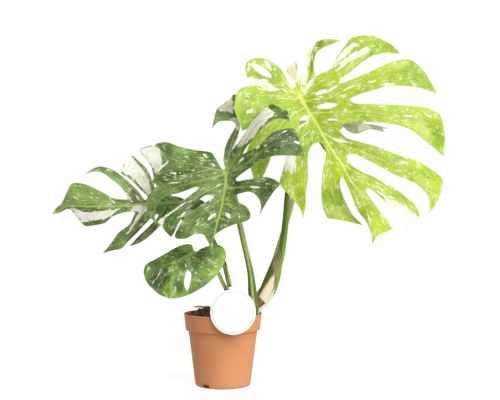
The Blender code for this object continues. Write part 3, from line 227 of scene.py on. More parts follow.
# The clasping sheath at the foot of each petiole: lowest point, highest point, depth of its channel,
# place of the channel across the front (-1 left, 1 right). Below and above, it fades over SHEATH_ENDS.
SHEATHS = {"a": (17.0, 30.0, 0.2, 0.1), "b": (16.5, 26.0, 0.08, 0.3), "c": (16.5, 24.0, 0.05, 0.3),
           "d": (16.5, 23.0, 0.05, 0.2), "e": (17.0, 27.0, 0.08, 0.2)}
SHEATH_ENDS = (2, 4)
CHANNEL_WIDTH = 0.28

# On the largest stalk, from -1 left to 1 right: heights, the cream foot's left and right edge at each,
# and heights, the dried band's middle, width and strength
CREAM_FOOT = ((15.5, 17.0, 18.5, 20.5, 21.8, 23.5, 24.8), (-1.2, -1.1, -0.95, -0.8, -0.6, -0.3, 0.0),
              (1.4, 1.4, 1.4, 0.85, 0.6, 0.27, 0.1))
DRY_BAND = ((19.0, 20.2, 21.8, 23.5, 25.0, 26.3, 27.8, 29.4, 31.4),
            (0.55, 0.55, 0.55, 0.45, 0.1, -0.3, -0.6, -0.85, -1.0),
            (0.08, 0.1, 0.14, 0.28, 0.42, 0.5, 0.42, 0.36, 0.3),
            (0.3, 0.6, 0.9, 1.0, 1.0, 1.0, 1.0, 0.8, 0.0))

# Dried sheaths: petiole, lowest and highest point, start angle, end angle, how far up the point at the right
# lies where the sheath is torn to a wedge (0 where it isn't), and dark and light screen colour. Their noise
# scales are for the edge's height and for the surface's height and width, their burnt parts shares of height
# and width.
HUSKS = {
    "dried_sheath": ("c", 22.4, 27.2, -66, 40, 0.0, (176, 128, 76), (246, 208, 148)),
    "old_scale": ("a", 17.0, 18.9, -95, -7, 0.7, (104, 70, 42), (196, 156, 106)),
}
HUSK_STEP = 0.12
HUSK_GAP = 0.05
HUSK_THICKNESS = 0.08
HUSK_THIN_EDGE = 0.5
HUSK_COLUMNS = 15
HUSK_NARROWING = 0.85
HUSK_WAVE = 0.03
HUSK_EDGE_WAVE = 0.12
HUSK_NOISE = (1.7, 2.3, 2)
HUSK_BURNT = ((0.72, 0.95), (0.2, 0.95))
HUSK_FIBRE_DEGREES = 60
WEDGE_LEAN = 66

# Tag: the card, its thin line as two fades of the distance from the middle, its strap and its loop
TAG_RADIUS = 4.8
TAG_THICKNESS = 0.08
TAG_CENTRE = (2.34, 16.81)
TAG_LEAN = math.radians(15)
TAG_SEGMENTS = 128
TAG_RINGS = (0.4, 0.8, 0.9, 0.99)
TAG_EDGE = 0.4
TAG_CREASE = math.radians(40)
TAG_LINE = ((4.28, 4.3), (4.38, 4.4))
STRAP_WIDTH = 0.6
STRAP_THICKNESS = 0.07
STRAP_STEPS = 12
STRAP_INSET = 0.5
STRAP_SAG = 0.12
LOOP_HEIGHT = 0.5
LOOP_GAP = 0.06
LOOP_PLACE = 21.7
LOOP_SIDES = 48

# Dry leaf scrap on the soil: points (x, y), half width, rise above its lowest point
SCRAP_PATH = [(-6.6, 2.9, 0.1, 0.2), (-5.9, 3.1, 0.3, 0.1), (-5.0, 3.2, 0.36, 0.05), (-4.1, 3.2, 0.36, 0.0),
              (-3.4, 3.1, 0.3, 0.1), (-3.0, 3.0, 0.16, 0.2)]
SCRAP_STEP = 0.1
SCRAP_COLUMNS = 13
SCRAP_CURL = 0.9
SCRAP_THICKNESS = 0.1
SCRAP_WAVE = 0.05
SCRAP_NOISE = (1.6, 1.2)
# Colours lightened beyond the scrap's own: painted light on a scrap that lies in shade
SCRAP_COLOURS = ((226, 200, 118), (255, 242, 176))

# Camera and light
LENS_MM = 72
SENSOR_MM = 36
SUN_STRENGTH = 2.6
SUN_ANGLE = math.radians(55)
SUN_FROM = Vector((0.78, -1.0, 0.92))
SKY_STRENGTH = 0.42
FLOOR_RADIUS_M = 9.0
FLOOR_SHADE = 0.3
FLOOR_GLOW = 0.85
DOME_RADIUS_M = 10.0

# Blades: outline points marked TIP are corners. "holes", "streaks", "pale", "dark" and "tan" are ovals, as
# centre, length, width and angle; "cream" holds outlines of cream sectors; "midrib" and "veins" are points
# with their depth; "fading" says how much, from where and up to where the midrib's colour fades. The "dark"
# ovals are painted shade, and the "pale" ovals paler green, partly the tissue's own and partly painted light.
LEAF_A = {
    "outline": [(17.4, 64.1), (17.7, 66), (17.9, 68.6), (18.2, 70.8), (18.7, 72.6), (19.5, 74.1),
        (20.7, 74.9), (22.6, 75.4), (25.7, 75.1, TIP), (24.3, 74.5), (22.9, 74), (21.6, 73.4), (20.6, 72.6),
        (20, 71.3), (19.8, 69.3), (20.2, 67.3), (21.4, 67.9), (23.1, 68.7), (24.2, 70.4), (25.2, 72.1),
        (26.6, 73.9), (28, 75.6), (30.1, 76.1), (32.7, 76.1), (34.9, 75.2), (36.8, 74.1), (38.6, 72.3, TIP),
        (37.1, 72.3), (35.5, 72.4), (32.5, 71.7), (29.9, 70), (27.6, 68.1), (25.8, 66.7), (25.3, 65.8),
        (26.3, 65.9), (27.8, 66.5), (31.3, 67.9), (34.2, 69.3), (37.2, 70.5), (39.3, 71), (40.9, 70.8),
        (42.2, 70), (43.8, 68.4), (45.3, 66), (46.7, 63.5, TIP), (45.1, 64.1), (42.7, 64.8), (39.6, 65.2),
        (36.1, 65.2), (33.2, 64.4), (29.9, 63.4), (28.2, 62.7), (27.6, 62.1), (28.3, 61.6), (29.4, 61.3),
        (34.9, 61.1), (40.8, 60.8), (44.3, 60.4), (46.2, 59.6), (47.3, 58.9), (47.9, 57.1), (48.4, 54.3),
        (48.3, 52.1), (48.1, 49.8, TIP), (46.2, 51.5), (43.8, 53.4), (41.5, 55.3), (38.9, 56.4), (36, 57),
        (32.5, 57.3), (29, 57.3), (26.6, 56.9), (25.4, 56.1), (25.6, 55.2), (27, 53.9), (30.1, 52.9),
        (33.7, 51.9), (37.2, 50.5), (40.8, 49.3), (43.6, 48.1), (46, 46.5), (47.9, 44.9), (47.7, 43.1),
        (47.3, 41.2), (46.2, 39), (44.9, 37.4, TIP), (45.1, 39.4), (44.6, 41.3), (43, 43.2), (40.3, 44.7),
        (37.2, 46), (33.7, 47.9), (30.4, 49.6), (28.5, 50.3), (27.1, 50.1), (27.2, 49), (28.5, 47.5),
        (31.3, 46), (34.9, 44.4), (37.9, 42.5), (40.3, 40.8), (42, 39), (42.8, 37), (41.7, 35.4),
        (40, 33.6, TIP), (39.6, 35.4), (37.9, 38.2), (35.5, 39.9), (33.6, 41.6), (31.8, 42.8), (31.1, 42.3),
        (32.7, 39.9), (34.4, 37.5), (35.8, 35.9), (37, 34, TIP), (35.5, 33.3), (33.7, 32.3),
        (32.5, 30.3, TIP), (32.4, 32.6), (31.3, 35.4), (29.4, 38), (28, 41.3), (26.8, 44.1), (26, 45.2),
        (25.5, 44.3), (25.7, 42.5), (27, 39.4), (28.5, 36.8), (30.6, 34.8, TIP), (27.6, 35.5), (25.1, 36),
        (22.8, 36.3, TIP), (21.9, 38.2), (21.5, 40.8), (21.5, 44.4), (21.9, 47.5), (22.4, 49.9), (22.2, 51.7),
        (21.2, 52.9), (19.6, 52.4), (18.7, 50.8), (18.5, 48.1), (18.6, 45.6), (18.2, 42.9), (18, 39.4),
        (17.5, 36.3, TIP), (16.9, 38.3), (15.5, 40.2), (14.1, 41.7), (12.4, 43.7), (12.6, 45.4), (13.4, 47.9),
        (13.7, 50.3), (13.5, 52.3), (12.7, 53.2), (11.8, 52.3), (10.8, 50.5), (10.2, 48.8), (9.4, 46.8),
        (8.5, 45.1), (7.2, 43.1, TIP), (6.6, 45.3), (6, 47.3), (5.5, 49), (5.2, 50.8), (5.9, 52.7),
        (7.4, 54.9), (9.4, 56.9), (11.4, 58.4), (12.5, 59.4), (12, 60.6), (10.4, 61), (9, 60.3), (7.4, 58.1),
        (6, 56.3), (4.2, 55.3, TIP), (3.5, 57.5), (2.7, 59.3), (2.5, 61.4), (3, 63.5), (3.9, 64.6), (5.1, 65),
        (5.8, 65.5), (6.2, 66.3), (6.1, 67.1), (5.3, 66.9, TIP), (5, 68.4), (4.9, 69.4), (5.3, 70.4),
        (6.2, 71), (7.6, 71.3), (9.1, 71.1), (10.5, 70.5), (12.4, 69.1), (13.6, 67.1), (14.5, 65.4),
        (14.2, 66.5), (13.8, 67.8), (14.2, 69.1), (14.9, 69.9), (15.9, 70.6, TIP), (16.2, 69.3), (16.3, 67.5),
        (16.5, 66), (16.8, 67.2), (17.3, 68.2, TIP), (17.6, 66.7)],
    "holes": [(21.4, 63.8, 2.8, 0.9, 22), (22.7, 60.8, 4.4, 1.2, 7), (23.9, 57.7, 2.2, 0.7, -3),
        (17.5, 57.7, 2.6, 1.3, 53), (8.3, 68.6, 5.5, 1.5, -34)],
    "midrib": [(16.8, 63, 2), (17.9, 61, 1.2), (20, 57.6, -0.6), (21.8, 54.5, -2.4), (23.8, 51.2, -4.4),
        (25.7, 48.4, -6.4), (27.8, 44.7, -9), (29.9, 41.4, -11.2), (31.3, 38, -13.4), (32.1, 34.2, -15.2),
        (32.5, 31.2, -16.2)],
    "veins": [
        [(17.2, 63.6, 2.1), (18.1, 65.6, 3.6), (18.9, 69.1, 6), (19.4, 72.1, 7.8), (20.9, 74.1, 8.4),
         (23.6, 74.9, 7.6)],
        [(17.4, 63, 2), (20.7, 65.6, 2.6), (23.1, 67.4, 3.4), (25.7, 69.6, 4.6), (28.5, 71.5, 5.8),
         (32.9, 73.7, 7.4), (37.1, 73, 7.2)],
        [(17.8, 61.7, 1.4), (20.2, 62.2, 1.1), (23.4, 62.6, 1), (26.2, 64.1, 1.2), (29.4, 65.2, 1.8),
         (33.7, 66.7, 2.6), (39.5, 68, 3.8), (43, 66.9, 4.2), (45.4, 64.9, 3.8)],
        [(19, 59.3, 0.2), (24.2, 59.4, -1), (29, 59.7, -1.6), (33.7, 59.3, -2), (38.4, 58.7, -1.6),
         (43.2, 57.8, -0.4), (46, 55.8, 0.8), (47.5, 52.1, 1.4)],
        [(21.4, 55.2, -2), (26.6, 52.2, -4), (30.3, 50.8, -5), (34.9, 48.9, -5.8), (39.6, 46.7, -6.2),
         (43.8, 44, -6.8), (45.6, 41, -7.6), (45.4, 38.6, -8.2)],
        [(24.1, 50.8, -4.8), (26.6, 47.7, -6.4), (30.9, 45.5, -8), (34.9, 43.4, -9), (38.4, 40.8, -9.8),
         (40.3, 37.9, -10.8), (40.2, 35.1, -11.6)],
        [(27.8, 44.7, -9), (31.2, 40.5, -11.2), (33.8, 37, -12.6), (36, 34.2, -13.4)],
        [(21.8, 54.5, -2.4), (23.4, 49.6, -5.4), (23.4, 45.5, -7.6), (24.1, 41.2, -9.6), (26, 37.9, -11),
         (29, 35.6, -12)],
        [(19.2, 58.9, 0), (17, 53.2, -3), (16.1, 47.9, -5.4), (15.7, 43.8, -7), (17, 38.6, -8.6)],
        [(18.1, 60.6, 1), (14.5, 58.4, -0.8), (11.4, 55.3, -2.4), (8.5, 51.2, -4), (7.3, 46.4, -5.4)],
        [(17.1, 62.4, 1.8), (13.6, 62.4, 0.6), (10.7, 63, -0.4), (7.6, 63, -1.2), (5.2, 61.9, -2),
         (4, 58.4, -3)],
        [(16.8, 63.4, 2), (14.4, 65, 2), (12, 68.5, 2), (10, 70.1, 1.8), (7.4, 70.9, 1.2), (5.6, 69.5, 0.4)],
        [(15.9, 63.4, 1.9), (13.1, 65, 1.4), (10.3, 65.9, 1), (7.3, 66.9, 0.6)],
        [(16.6, 63.6, 2.1), (15.5, 65.8, 3.2), (14.9, 68, 4.4), (15.6, 69.7, 5.4)],
        [(16.9, 63.9, 2.2), (17, 65.6, 3.4), (17.2, 67.4, 4.4)]],
    "cream": [
        [(32, 73), (31.7, 73.5), (30.4, 73.5), (28.8, 72.7), (27, 71.5), (25.4, 69.6), (25, 68.5), (26.2, 69),
         (27.7, 70.2), (29.2, 71.2), (30.7, 72.2)],
        [(28.2, 74.8), (26.9, 73.7), (25.3, 72.1), (23.9, 70.3), (21.8, 68.5), (20.1, 67.3), (18.7, 66.4),
         (17.1, 64), (17.5, 63.3), (19.3, 64.9), (21.9, 67.5), (24.1, 69), (26, 70.9), (27.8, 72.9),
         (29.7, 74.3)],
        [(16.6, 65.2), (16.7, 68.4), (17, 71), (17.8, 73.4), (20, 75.4), (20.6, 74.2), (19.5, 72.2),
         (19, 70.4), (18.7, 68.5), (18.5, 65.2)],
        [(35.2, 40.6), (37.4, 40.2), (39.2, 39.4), (41, 38), (42.4, 37), (43.2, 35.4), (41.4, 32.6),
         (39.2, 32), (38.2, 34.8), (37.2, 36.6), (36, 38)],
        [(13.4, 50), (15.9, 50), (15.9, 47), (15.4, 45.3), (14.9, 46), (14.4, 46.5), (14, 46), (13.2, 46.5)],
        [(5.2, 67), (6.3, 67.3), (7.6, 66.3), (9.2, 66.5), (10.5, 65.8), (12, 64.9), (14.3, 63.7),
         (13.8, 63.5), (12.5, 64.2), (11.5, 64), (10, 64.3), (9.2, 64.7), (6.6, 65), (5.2, 65)],
        [(13.7, 66.5), (14.1, 69.3), (15.9, 70.8), (16.4, 68), (16.2, 65.8), (15.6, 64.6), (14.7, 64.8)]],
    "streaks": [(26.9, 64.5, 5.2, 0.55, 24), (32.8, 66.1, 4, 0.35, 10), (35.8, 65.5, 4.1, 0.6, 4),
        (23.2, 64, 4, 0.5, 33), (24, 66, 1.6, 0.5, 20), (25.7, 63, 3.5, 0.55, 12),
        (40.5, 58.6, 2.4, 0.35, -5), (44.8, 58.6, 1.5, 0.5, -5), (25.6, 53.2, 4.2, 0.7, -12),
        (18.6, 58.3, 1.8, 0.5, 60), (17.4, 56.6, 2.2, 0.5, 40), (18.5, 55, 3.4, 0.35, 45),
        (32.5, 49.4, 6.5, 0.3, -25), (39.7, 48.5, 2.4, 0.6, -15), (34.6, 41.6, 4.5, 0.5, -33),
        (36, 43.5, 3.5, 0.3, -40), (39.6, 41.3, 3, 0.3, -45), (32, 36, 3.4, 0.35, -70),
        (22, 45.1, 3.8, 0.4, 85), (23.9, 41.9, 3.6, 0.25, -75), (17.2, 48.4, 2, 0.4, 88),
        (9.9, 69.6, 2.8, 0.6, -55), (5.6, 69.2, 2.4, 0.5, 85), (5.7, 59.6, 2, 1.1, 20),
        (5.3, 62.8, 1.6, 0.6, -15), (14.3, 63.3, 1, 0.35, 0), (13.9, 61.8, 1, 0.3, 0),
        (38.4, 63.9, 1, 0.3, 10), (31, 62.9, 1.1, 0.3, 20), (24.1, 51, 2, 0.3, -60),
        (44.6, 55.5, 1.2, 0.3, -50), (29.7, 58.4, 1.2, 0.35, 5)],
    "pale": [(38.3, 70.1, 5, 1.6, 10), (43, 55.2, 6, 2, -50), (13.3, 66.4, 4, 1.2, -62),
        (3.6, 62.8, 3.4, 1.6, 75), (34.5, 41.8, 5, 1, -35), (45.3, 39.8, 3, 1, 70), (26.3, 71.8, 5, 2, 55),
        (43.5, 55, 8, 4, -55), (38, 70, 7, 3.4, 5), (29, 70.5, 9, 2.4, 40), (38.5, 38.5, 8, 3, -55),
        (43, 44.5, 6, 2, -40), (26, 37.6, 10, 4, -5), (23.4, 75, 5, 1.4, 5)],
    "dark": [(19.4, 70.2, 8, 1.1, 84), (21, 74.3, 3, 1.2, 40), (17.1, 66.2, 4.4, 1, 84),
        (7, 57, 9, 3, 50), (35.6, 40.6, 9, 1.1, -42), (44.4, 68, 6, 1, -58)],
    "tan": [(15.1, 68.2, 5, 1.9, 84), (15.7, 67, 5, 0.9, 84), (18.3, 71.4, 5, 1.1, 68)],
    "fading": (0.75, 0.4, 0.85),
}

LEAF_B = {
    "outline": [(0.5, 47.3), (0.1, 48.8), (0.3, 50.5), (0.5, 51.8), (1.4, 53.9), (2.2, 55.3), (2.8, 56.5),
        (2.2, 57.4), (0.9, 57.6), (-1.1, 57.3), (-2.4, 55.9, TIP), (-1.9, 58.2), (-1.3, 60.1), (0.2, 61.3),
        (1.5, 62.3), (2.4, 63.3), (3.5, 63, TIP), (4.1, 61.2), (4.2, 59), (3.9, 56.9), (3.4, 54.7),
        (2.9, 52.2), (4.4, 54.3), (6.1, 57.1), (7.2, 58.6), (8.3, 59.8), (9.6, 60.8), (10.9, 61.2),
        (12.4, 60.4), (12.9, 59.9), (14, 59.8), (14.6, 57.5, TIP), (13.2, 58), (11.8, 58), (9.6, 56.9),
        (7.9, 55.3), (6.6, 53.6), (5.2, 51.9), (4.4, 50.4), (5.7, 51), (7.9, 52.1), (9.6, 53.9), (11.4, 55.3),
        (13.6, 55.8), (15.4, 55.9), (16.1, 54.8), (17, 52.1), (17.9, 49.7, TIP), (16.4, 49.9), (14.6, 50),
        (12.4, 50), (10.3, 49.7), (7.9, 48.7), (6.2, 47.5), (4.6, 46.4), (3.4, 45.5), (2.8, 44.9),
        (3.2, 44.4), (4.4, 44.6), (6.7, 45), (9.1, 45.3), (11.2, 44.8), (12.4, 43.7), (11.2, 42.3),
        (9.7, 40.1), (8, 37.1, TIP), (8.3, 38.8), (8, 40.2), (7.1, 41.4), (5.9, 42.1), (4.4, 41.9),
        (2.9, 41.4), (2.2, 40.8), (3.2, 40), (4.8, 39.1), (5.8, 37.9), (6, 36.7), (5.6, 36), (4.4, 35.5),
        (2, 34.8), (-0.2, 33.8), (-1.8, 32.5), (-2.2, 30.7), (-2.5, 28.7, TIP), (-2.9, 30.4), (-3.6, 31.7),
        (-4.3, 32.8), (-6.1, 32.9), (-7.8, 32), (-9.1, 31.8), (-10.1, 31.9), (-10.5, 32.5), (-9.8, 34.2),
        (-8.3, 36.5), (-6.1, 38.2), (-4.1, 39.6), (-2.1, 40.8), (-2.5, 41.3), (-3.9, 41.3), (-5.9, 39.7),
        (-7.8, 37.9), (-9.4, 35.7), (-10.5, 33.5), (-11.2, 32.1, TIP), (-12.4, 33.3), (-13.5, 34.8),
        (-14.2, 35.6), (-12, 37.6), (-10.2, 39), (-8.5, 40.3), (-5.9, 42.3), (-5.3, 43), (-6.1, 43.1),
        (-9.1, 42), (-12.6, 41.1), (-13.7, 40), (-14.8, 38.4), (-14.9, 36.8), (-14.5, 35.1, TIP),
        (-15.7, 36.4), (-16.6, 38.4), (-16.5, 40), (-15.6, 41.6), (-14.8, 42.9), (-13.6, 44.2), (-14, 44.6),
        (-15.2, 43.4, TIP), (-15.4, 44.4), (-14.5, 46), (-12.8, 47.7), (-11.9, 48.8), (-13.1, 50.5),
        (-14.8, 52.5, TIP), (-12.4, 52.9), (-9.4, 51.9), (-6.1, 51.2), (-3.7, 50.9), (-2.4, 50.5),
        (-1.5, 49.2), (-0.6, 47.6), (0, 46.9)],
    "midrib": [(0.6, 46.3, -9), (0.6, 44, -10.4), (-0.2, 39.2, -13), (-1.2, 35.5, -15.2),
        (-2.1, 31.6, -17.2), (-2.4, 29.7, -18.2)],
    "veins": [
        [(0.8, 46.9, -9), (1.3, 49.9, -7.6), (2.2, 53.4, -4.6), (3.4, 57.4, -1.4), (2.8, 60.6, 0.6),
         (0.4, 59.9, 1), (-1.5, 57.9, 0.6)],
        [(1.0, 46.9, -9), (3.2, 50.1, -9), (5.5, 54, -9), (7.9, 57.2, -8.8), (10.3, 59.4, -8.4),
         (13.1, 58.9, -7.8)],
        [(1.0, 46.1, -9.4), (3.4, 47.2, -10.4), (5.9, 48.8, -11.6), (9, 51.2, -12.4), (12.4, 52.8, -12.4),
         (15.3, 52.5, -12), (17, 50.8, -11.6)],
        [(0.5, 42.8, -11), (3.3, 43, -12), (6.3, 43.3, -13), (9, 43, -13.4), (9.8, 41.8, -13.8),
         (8.7, 39, -14.4)],
        [(-0.1, 39.6, -12.8), (2.4, 38.8, -13.6), (4.8, 37.2, -14)],
        [(-0.9, 36.4, -14.6), (1.1, 35.8, -15), (3.1, 35.7, -14.8)],
        [(0.5, 46.5, -9), (-2.4, 47.1, -9.8), (-6, 47.9, -10.2), (-9.8, 48.6, -10), (-12.4, 50.2, -9.4),
         (-13.8, 51.9, -8.8)],
        [(-2.4, 47.1, -9.8), (-7.2, 46, -10.6), (-11.5, 45.3, -10.8), (-14.2, 45.1, -10.6)],
        [(0.5, 45.9, -9.4), (-4.1, 44.7, -11), (-8.3, 43.6, -12), (-12.4, 42.3, -12.6), (-15, 40.5, -13.2),
         (-15.8, 37.7, -13.6)],
        [(0.5, 44, -10.6), (-3.9, 42, -12.4), (-7.7, 39.4, -13.8), (-11.3, 36.4, -14.8), (-11.8, 34, -15.2)],
        [(0, 40.7, -12.4), (-3, 38.8, -13.8), (-6.3, 36.2, -15.2), (-9.1, 33, -16.2)],
        [(-1.1, 36.2, -15), (-3.5, 34.6, -15.8), (-5.9, 33.5, -16.2)]],
    "cream": [
        [(3.2, 51.9), (3.9, 53), (4.7, 55.5), (6.1, 57.3), (7, 58.1), (8.7, 60.1), (9.6, 60.8), (11, 59.9),
         (11.6, 59.3), (10.5, 58.1), (9.2, 57.2), (7.9, 55.5), (6.5, 53.9), (5.2, 52.4), (4.7, 52.4),
         (3.9, 51.7)],
        [(-1.2, 59.9), (0.1, 61.2), (2, 62.9), (2.6, 60.6), (2.5, 58.8), (1.2, 59.5), (-0.8, 59.7)],
        [(1, 58.1), (3, 58.6), (4.2, 58.4), (4, 56.2), (3.1, 55.4), (2.2, 56.4)],
        [(-14.9, 36), (-13.5, 36.6), (-12.7, 36), (-13.4, 34), (-14.2, 34.5), (-14.6, 34.9)]],
    "streaks": [(-2.6, 36.5, 2.9, 0.7, 40), (1.1, 36.9, 2, 0.9, -60), (2.8, 52.6, 3.4, 0.7, 65),
        (4.1, 49.1, 2, 0.6, 40), (7.6, 51.7, 1.5, 0.5, 40), (16, 52.8, 1.5, 0.6, -20),
        (13.4, 55.2, 1.4, 0.3, 20), (6.9, 43.1, 2.4, 0.6, 0), (9.6, 43.9, 1.1, 0.3, 0),
        (-3.9, 50, 1.6, 0.5, -40), (-2.1, 48, 1.5, 0.4, -40), (-11, 46.1, 3, 0.22, 10),
        (-10.8, 44, 2.4, 0.3, 10), (-10.6, 38, 5.5, 0.45, 35), (-8.4, 37.2, 3.6, 0.8, 32),
        (-6.5, 46.7, 1.4, 0.3, 8), (-1, 43.5, 1.2, 0.3, 30), (-4.3, 42.8, 1.3, 0.25, 20),
        (-14, 44.2, 1.1, 0.4, 30), (3.6, 36.6, 0.9, 0.4, -60), (-5.6, 35, 1, 0.35, 50),
        (-9, 33.6, 0.9, 0.3, 40), (5.5, 50.1, 1, 0.3, 40), (-7.8, 49.6, 1, 0.35, -20),
        (-14.4, 44.9, 1.3, 0.22, 105), (-13.4, 45.2, 1.5, 0.22, 103), (-12.4, 45.5, 1.6, 0.22, 102),
        (-11.4, 45.8, 1.5, 0.22, 100), (-10.4, 46, 1.4, 0.2, 100), (-9.4, 46.2, 1.1, 0.2, 98)],
    "pale": [(-9, 51, 6, 1.6, -12), (-5, 34, 5, 3, 30), (-0.6, 58, 5.6, 2.4, 12)],
    "tan": [(0.6, 60.6, 4.6, 2, 12), (9.9, 59, 1.6, 0.5, 40), (8.4, 57.3, 1.3, 0.4, 50),
        (7.3, 56.6, 3, 0.3, 50), (5.7, 53.9, 2.6, 0.3, 50)],
    "dark": [(10, 54.5, 17, 4, 36), (14, 54.6, 8, 4, -20), (9.6, 42.3, 5, 3.6, -50), (2, 51, 6, 2.4, 60),
        (3, 43, 3, 8, 0), (-5.5, 40.4, 9, 1.4, 35), (1.6, 55, 5, 1.2, 65), (-11.9, 45.4, 8, 2.8, 14),
        (12.4, 52.4, 9, 4, 8)],
}

LEAF_C = {
    "outline": [(-8.4, 40.4), (-9.8, 41), (-11.1, 41.2), (-12.4, 42.5), (-13.6, 44.4), (-14.2, 46.4),
        (-13.3, 47.7), (-12, 48.9), (-12.6, 50.8), (-14.1, 52.3, TIP), (-16.1, 52.1), (-18.1, 51.3),
        (-17.5, 50.2), (-16.5, 48.9), (-15.6, 47.5), (-15.1, 45.4), (-14.4, 43.2), (-14.9, 43), (-15.4, 44.4),
        (-16.4, 46.8), (-17.9, 48.4), (-19.7, 50, TIP), (-20.7, 49.4), (-21.6, 48.1), (-22.2, 46.2),
        (-20.8, 45.3), (-19.4, 44.1), (-17.9, 42.5), (-16.4, 41), (-17.1, 40.4), (-18.4, 42.1), (-20.4, 44.1),
        (-22.4, 45.8), (-24.3, 47), (-26.6, 47.6), (-28.2, 47.2), (-30, 46, TIP), (-28.5, 46.5),
        (-27.2, 46.5), (-25.9, 46), (-24.5, 45), (-22.4, 43.3), (-21.3, 41.8), (-20.8, 40.6), (-21.7, 40.4),
        (-24, 40.7), (-25.7, 41.7), (-27.9, 42.8), (-30.3, 43.8), (-32.8, 43.9), (-34, 42), (-35.1, 39.7),
        (-36.4, 38.5), (-37.2, 37.2, TIP), (-35.5, 37.6), (-34.1, 38.3), (-33.2, 38.2), (-32.5, 37.4),
        (-31.6, 36.3), (-30.7, 35.2), (-29.9, 34.6), (-27.9, 34.8), (-25.7, 35.3), (-24.2, 36.6),
        (-22.4, 37.4), (-20.3, 37.8), (-19.2, 37.6), (-19.6, 36.5), (-20.5, 34.9), (-22.7, 33.2),
        (-24.5, 30.8), (-26.3, 28.6, TIP), (-24, 29.3), (-22.2, 29.7), (-20.5, 31.4), (-18.5, 33.4),
        (-16.8, 35.2), (-15.5, 36.5), (-14.3, 37.3), (-14.2, 36.6), (-15.5, 35.2), (-17.2, 33.5), (-19, 31.8),
        (-20.5, 30.1, TIP), (-17.9, 31.1), (-15.8, 32.6), (-13.9, 34.5), (-12, 36.2), (-10.2, 36.7),
        (-8.5, 35.7), (-6.5, 35.6), (-5, 36.5), (-4, 38.1), (-4, 39.8), (-5.2, 40.4), (-6.7, 40.2),
        (-7.7, 39.8)],
    "midrib": [(-8.5, 39.7, -2), (-11.1, 39.8, -3), (-13.7, 39.6, -3.8), (-16.8, 39.4, -4.6),
        (-20, 39.2, -5.2), (-23.3, 39, -5.6), (-29.4, 38.9, -5.8), (-33.3, 39.1, -5.2), (-35.9, 38, -4)],
    "veins": [
        [(-8.9, 40, -2.2), (-11.3, 41, -1.8), (-13.6, 43.6, -1.2), (-14.7, 46.2, -0.8), (-14.4, 49, -0.2),
         (-15.1, 51.2, 0.4)],
        [(-11.5, 39.8, -3), (-14.2, 41.4, -3), (-16.4, 43.8, -2.4), (-18.5, 46.6, -1.6), (-19.7, 49, -1)],
        [(-15, 39.6, -4.2), (-17.3, 40.5, -4.4), (-19.8, 43.2, -4.2), (-22.9, 45.6, -3.8),
         (-25.7, 46.8, -3.2), (-28.4, 46.8, -2.8)],
        [(-20.7, 39.2, -5.2), (-24.6, 40.1, -5.6), (-28.1, 41.3, -5.4), (-31.6, 43, -4.8)],
        [(-16.8, 39.4, -4.6), (-18.3, 36.4, -5.8), (-20.7, 33.5, -6.8), (-23.7, 30.5, -7.4)],
        [(-12, 39.6, -3.2), (-13.9, 36.4, -4.4), (-16.4, 33.3, -5.4), (-19, 31.1, -6)],
        [(-8.5, 39.3, -2), (-7, 38.3, -2.6), (-5.4, 37.9, -2.4)],
        [(-21.6, 39.1, -5.4), (-24.6, 37.7, -6.2), (-27.7, 36.2, -6.6), (-29.7, 35.4, -6.4)]],
    "cream": [
        [(-18.4, 51.5), (-15, 52.4), (-14, 51.7), (-13.2, 49.1), (-13, 47.8), (-14.6, 45.6), (-15.8, 47.8),
         (-17.1, 49.5)],
        [(-22.6, 46.2), (-21.2, 49.1), (-20, 50.1), (-19.4, 49.5), (-18.5, 47.8), (-16.9, 46), (-15.7, 43.9),
         (-15.6, 42.6), (-15.7, 41.4), (-16.2, 40.9), (-16.9, 41.9), (-18.5, 43.9), (-20.4, 45.5),
         (-21.8, 46.3)],
        [(-22, 42.9), (-20.4, 41.4), (-19.2, 39.6), (-19.8, 39.6), (-21.4, 40.6)],
        [(-33.4, 38.6), (-31.3, 38.2), (-29.8, 37.8), (-27.4, 38), (-24.3, 38.2), (-21.8, 38.6),
         (-23.1, 37.9), (-24.5, 36.9), (-26.3, 36), (-28.2, 35.6), (-30.7, 35.4), (-32.6, 37.3)],
        [(-20.2, 38.8), (-18.5, 39.2), (-16.6, 39.2), (-16.7, 38), (-17.9, 36.9), (-18.9, 35.5),
         (-19.6, 34.9), (-19.2, 36.7), (-18.5, 37.6), (-20, 37.9)],
        [(-8.8, 37), (-7, 38.4), (-5.2, 38.2), (-5.4, 37), (-7, 36), (-8.6, 36.2)]],
    "streaks": [(-32, 40.7, 1.9, 0.4, -25), (-31.1, 43.3, 1.4, 0.3, -10), (-24.2, 40.2, 2.2, 0.4, -45),
        (-18.6, 40.8, 1.6, 0.4, -60), (-19.8, 34.6, 2.4, 0.4, 50), (-20.6, 33.3, 1.6, 0.3, 45),
        (-25.2, 46.9, 1.5, 0.3, -20), (-11, 37.6, 2.4, 0.6, 20), (-17.7, 33.2, 1.6, 0.3, 45)],
    "pale": [(-35.8, 38.5, 6, 2.6, 35), (-29, 41.5, 16, 7, -8), (-24, 44.5, 12, 4, -35)],
    "dark": [(-19, 32.5, 9, 2.4, 48), (-13.2, 44, 8, 2, 80), (-12, 37, 8, 2, 30)],
}

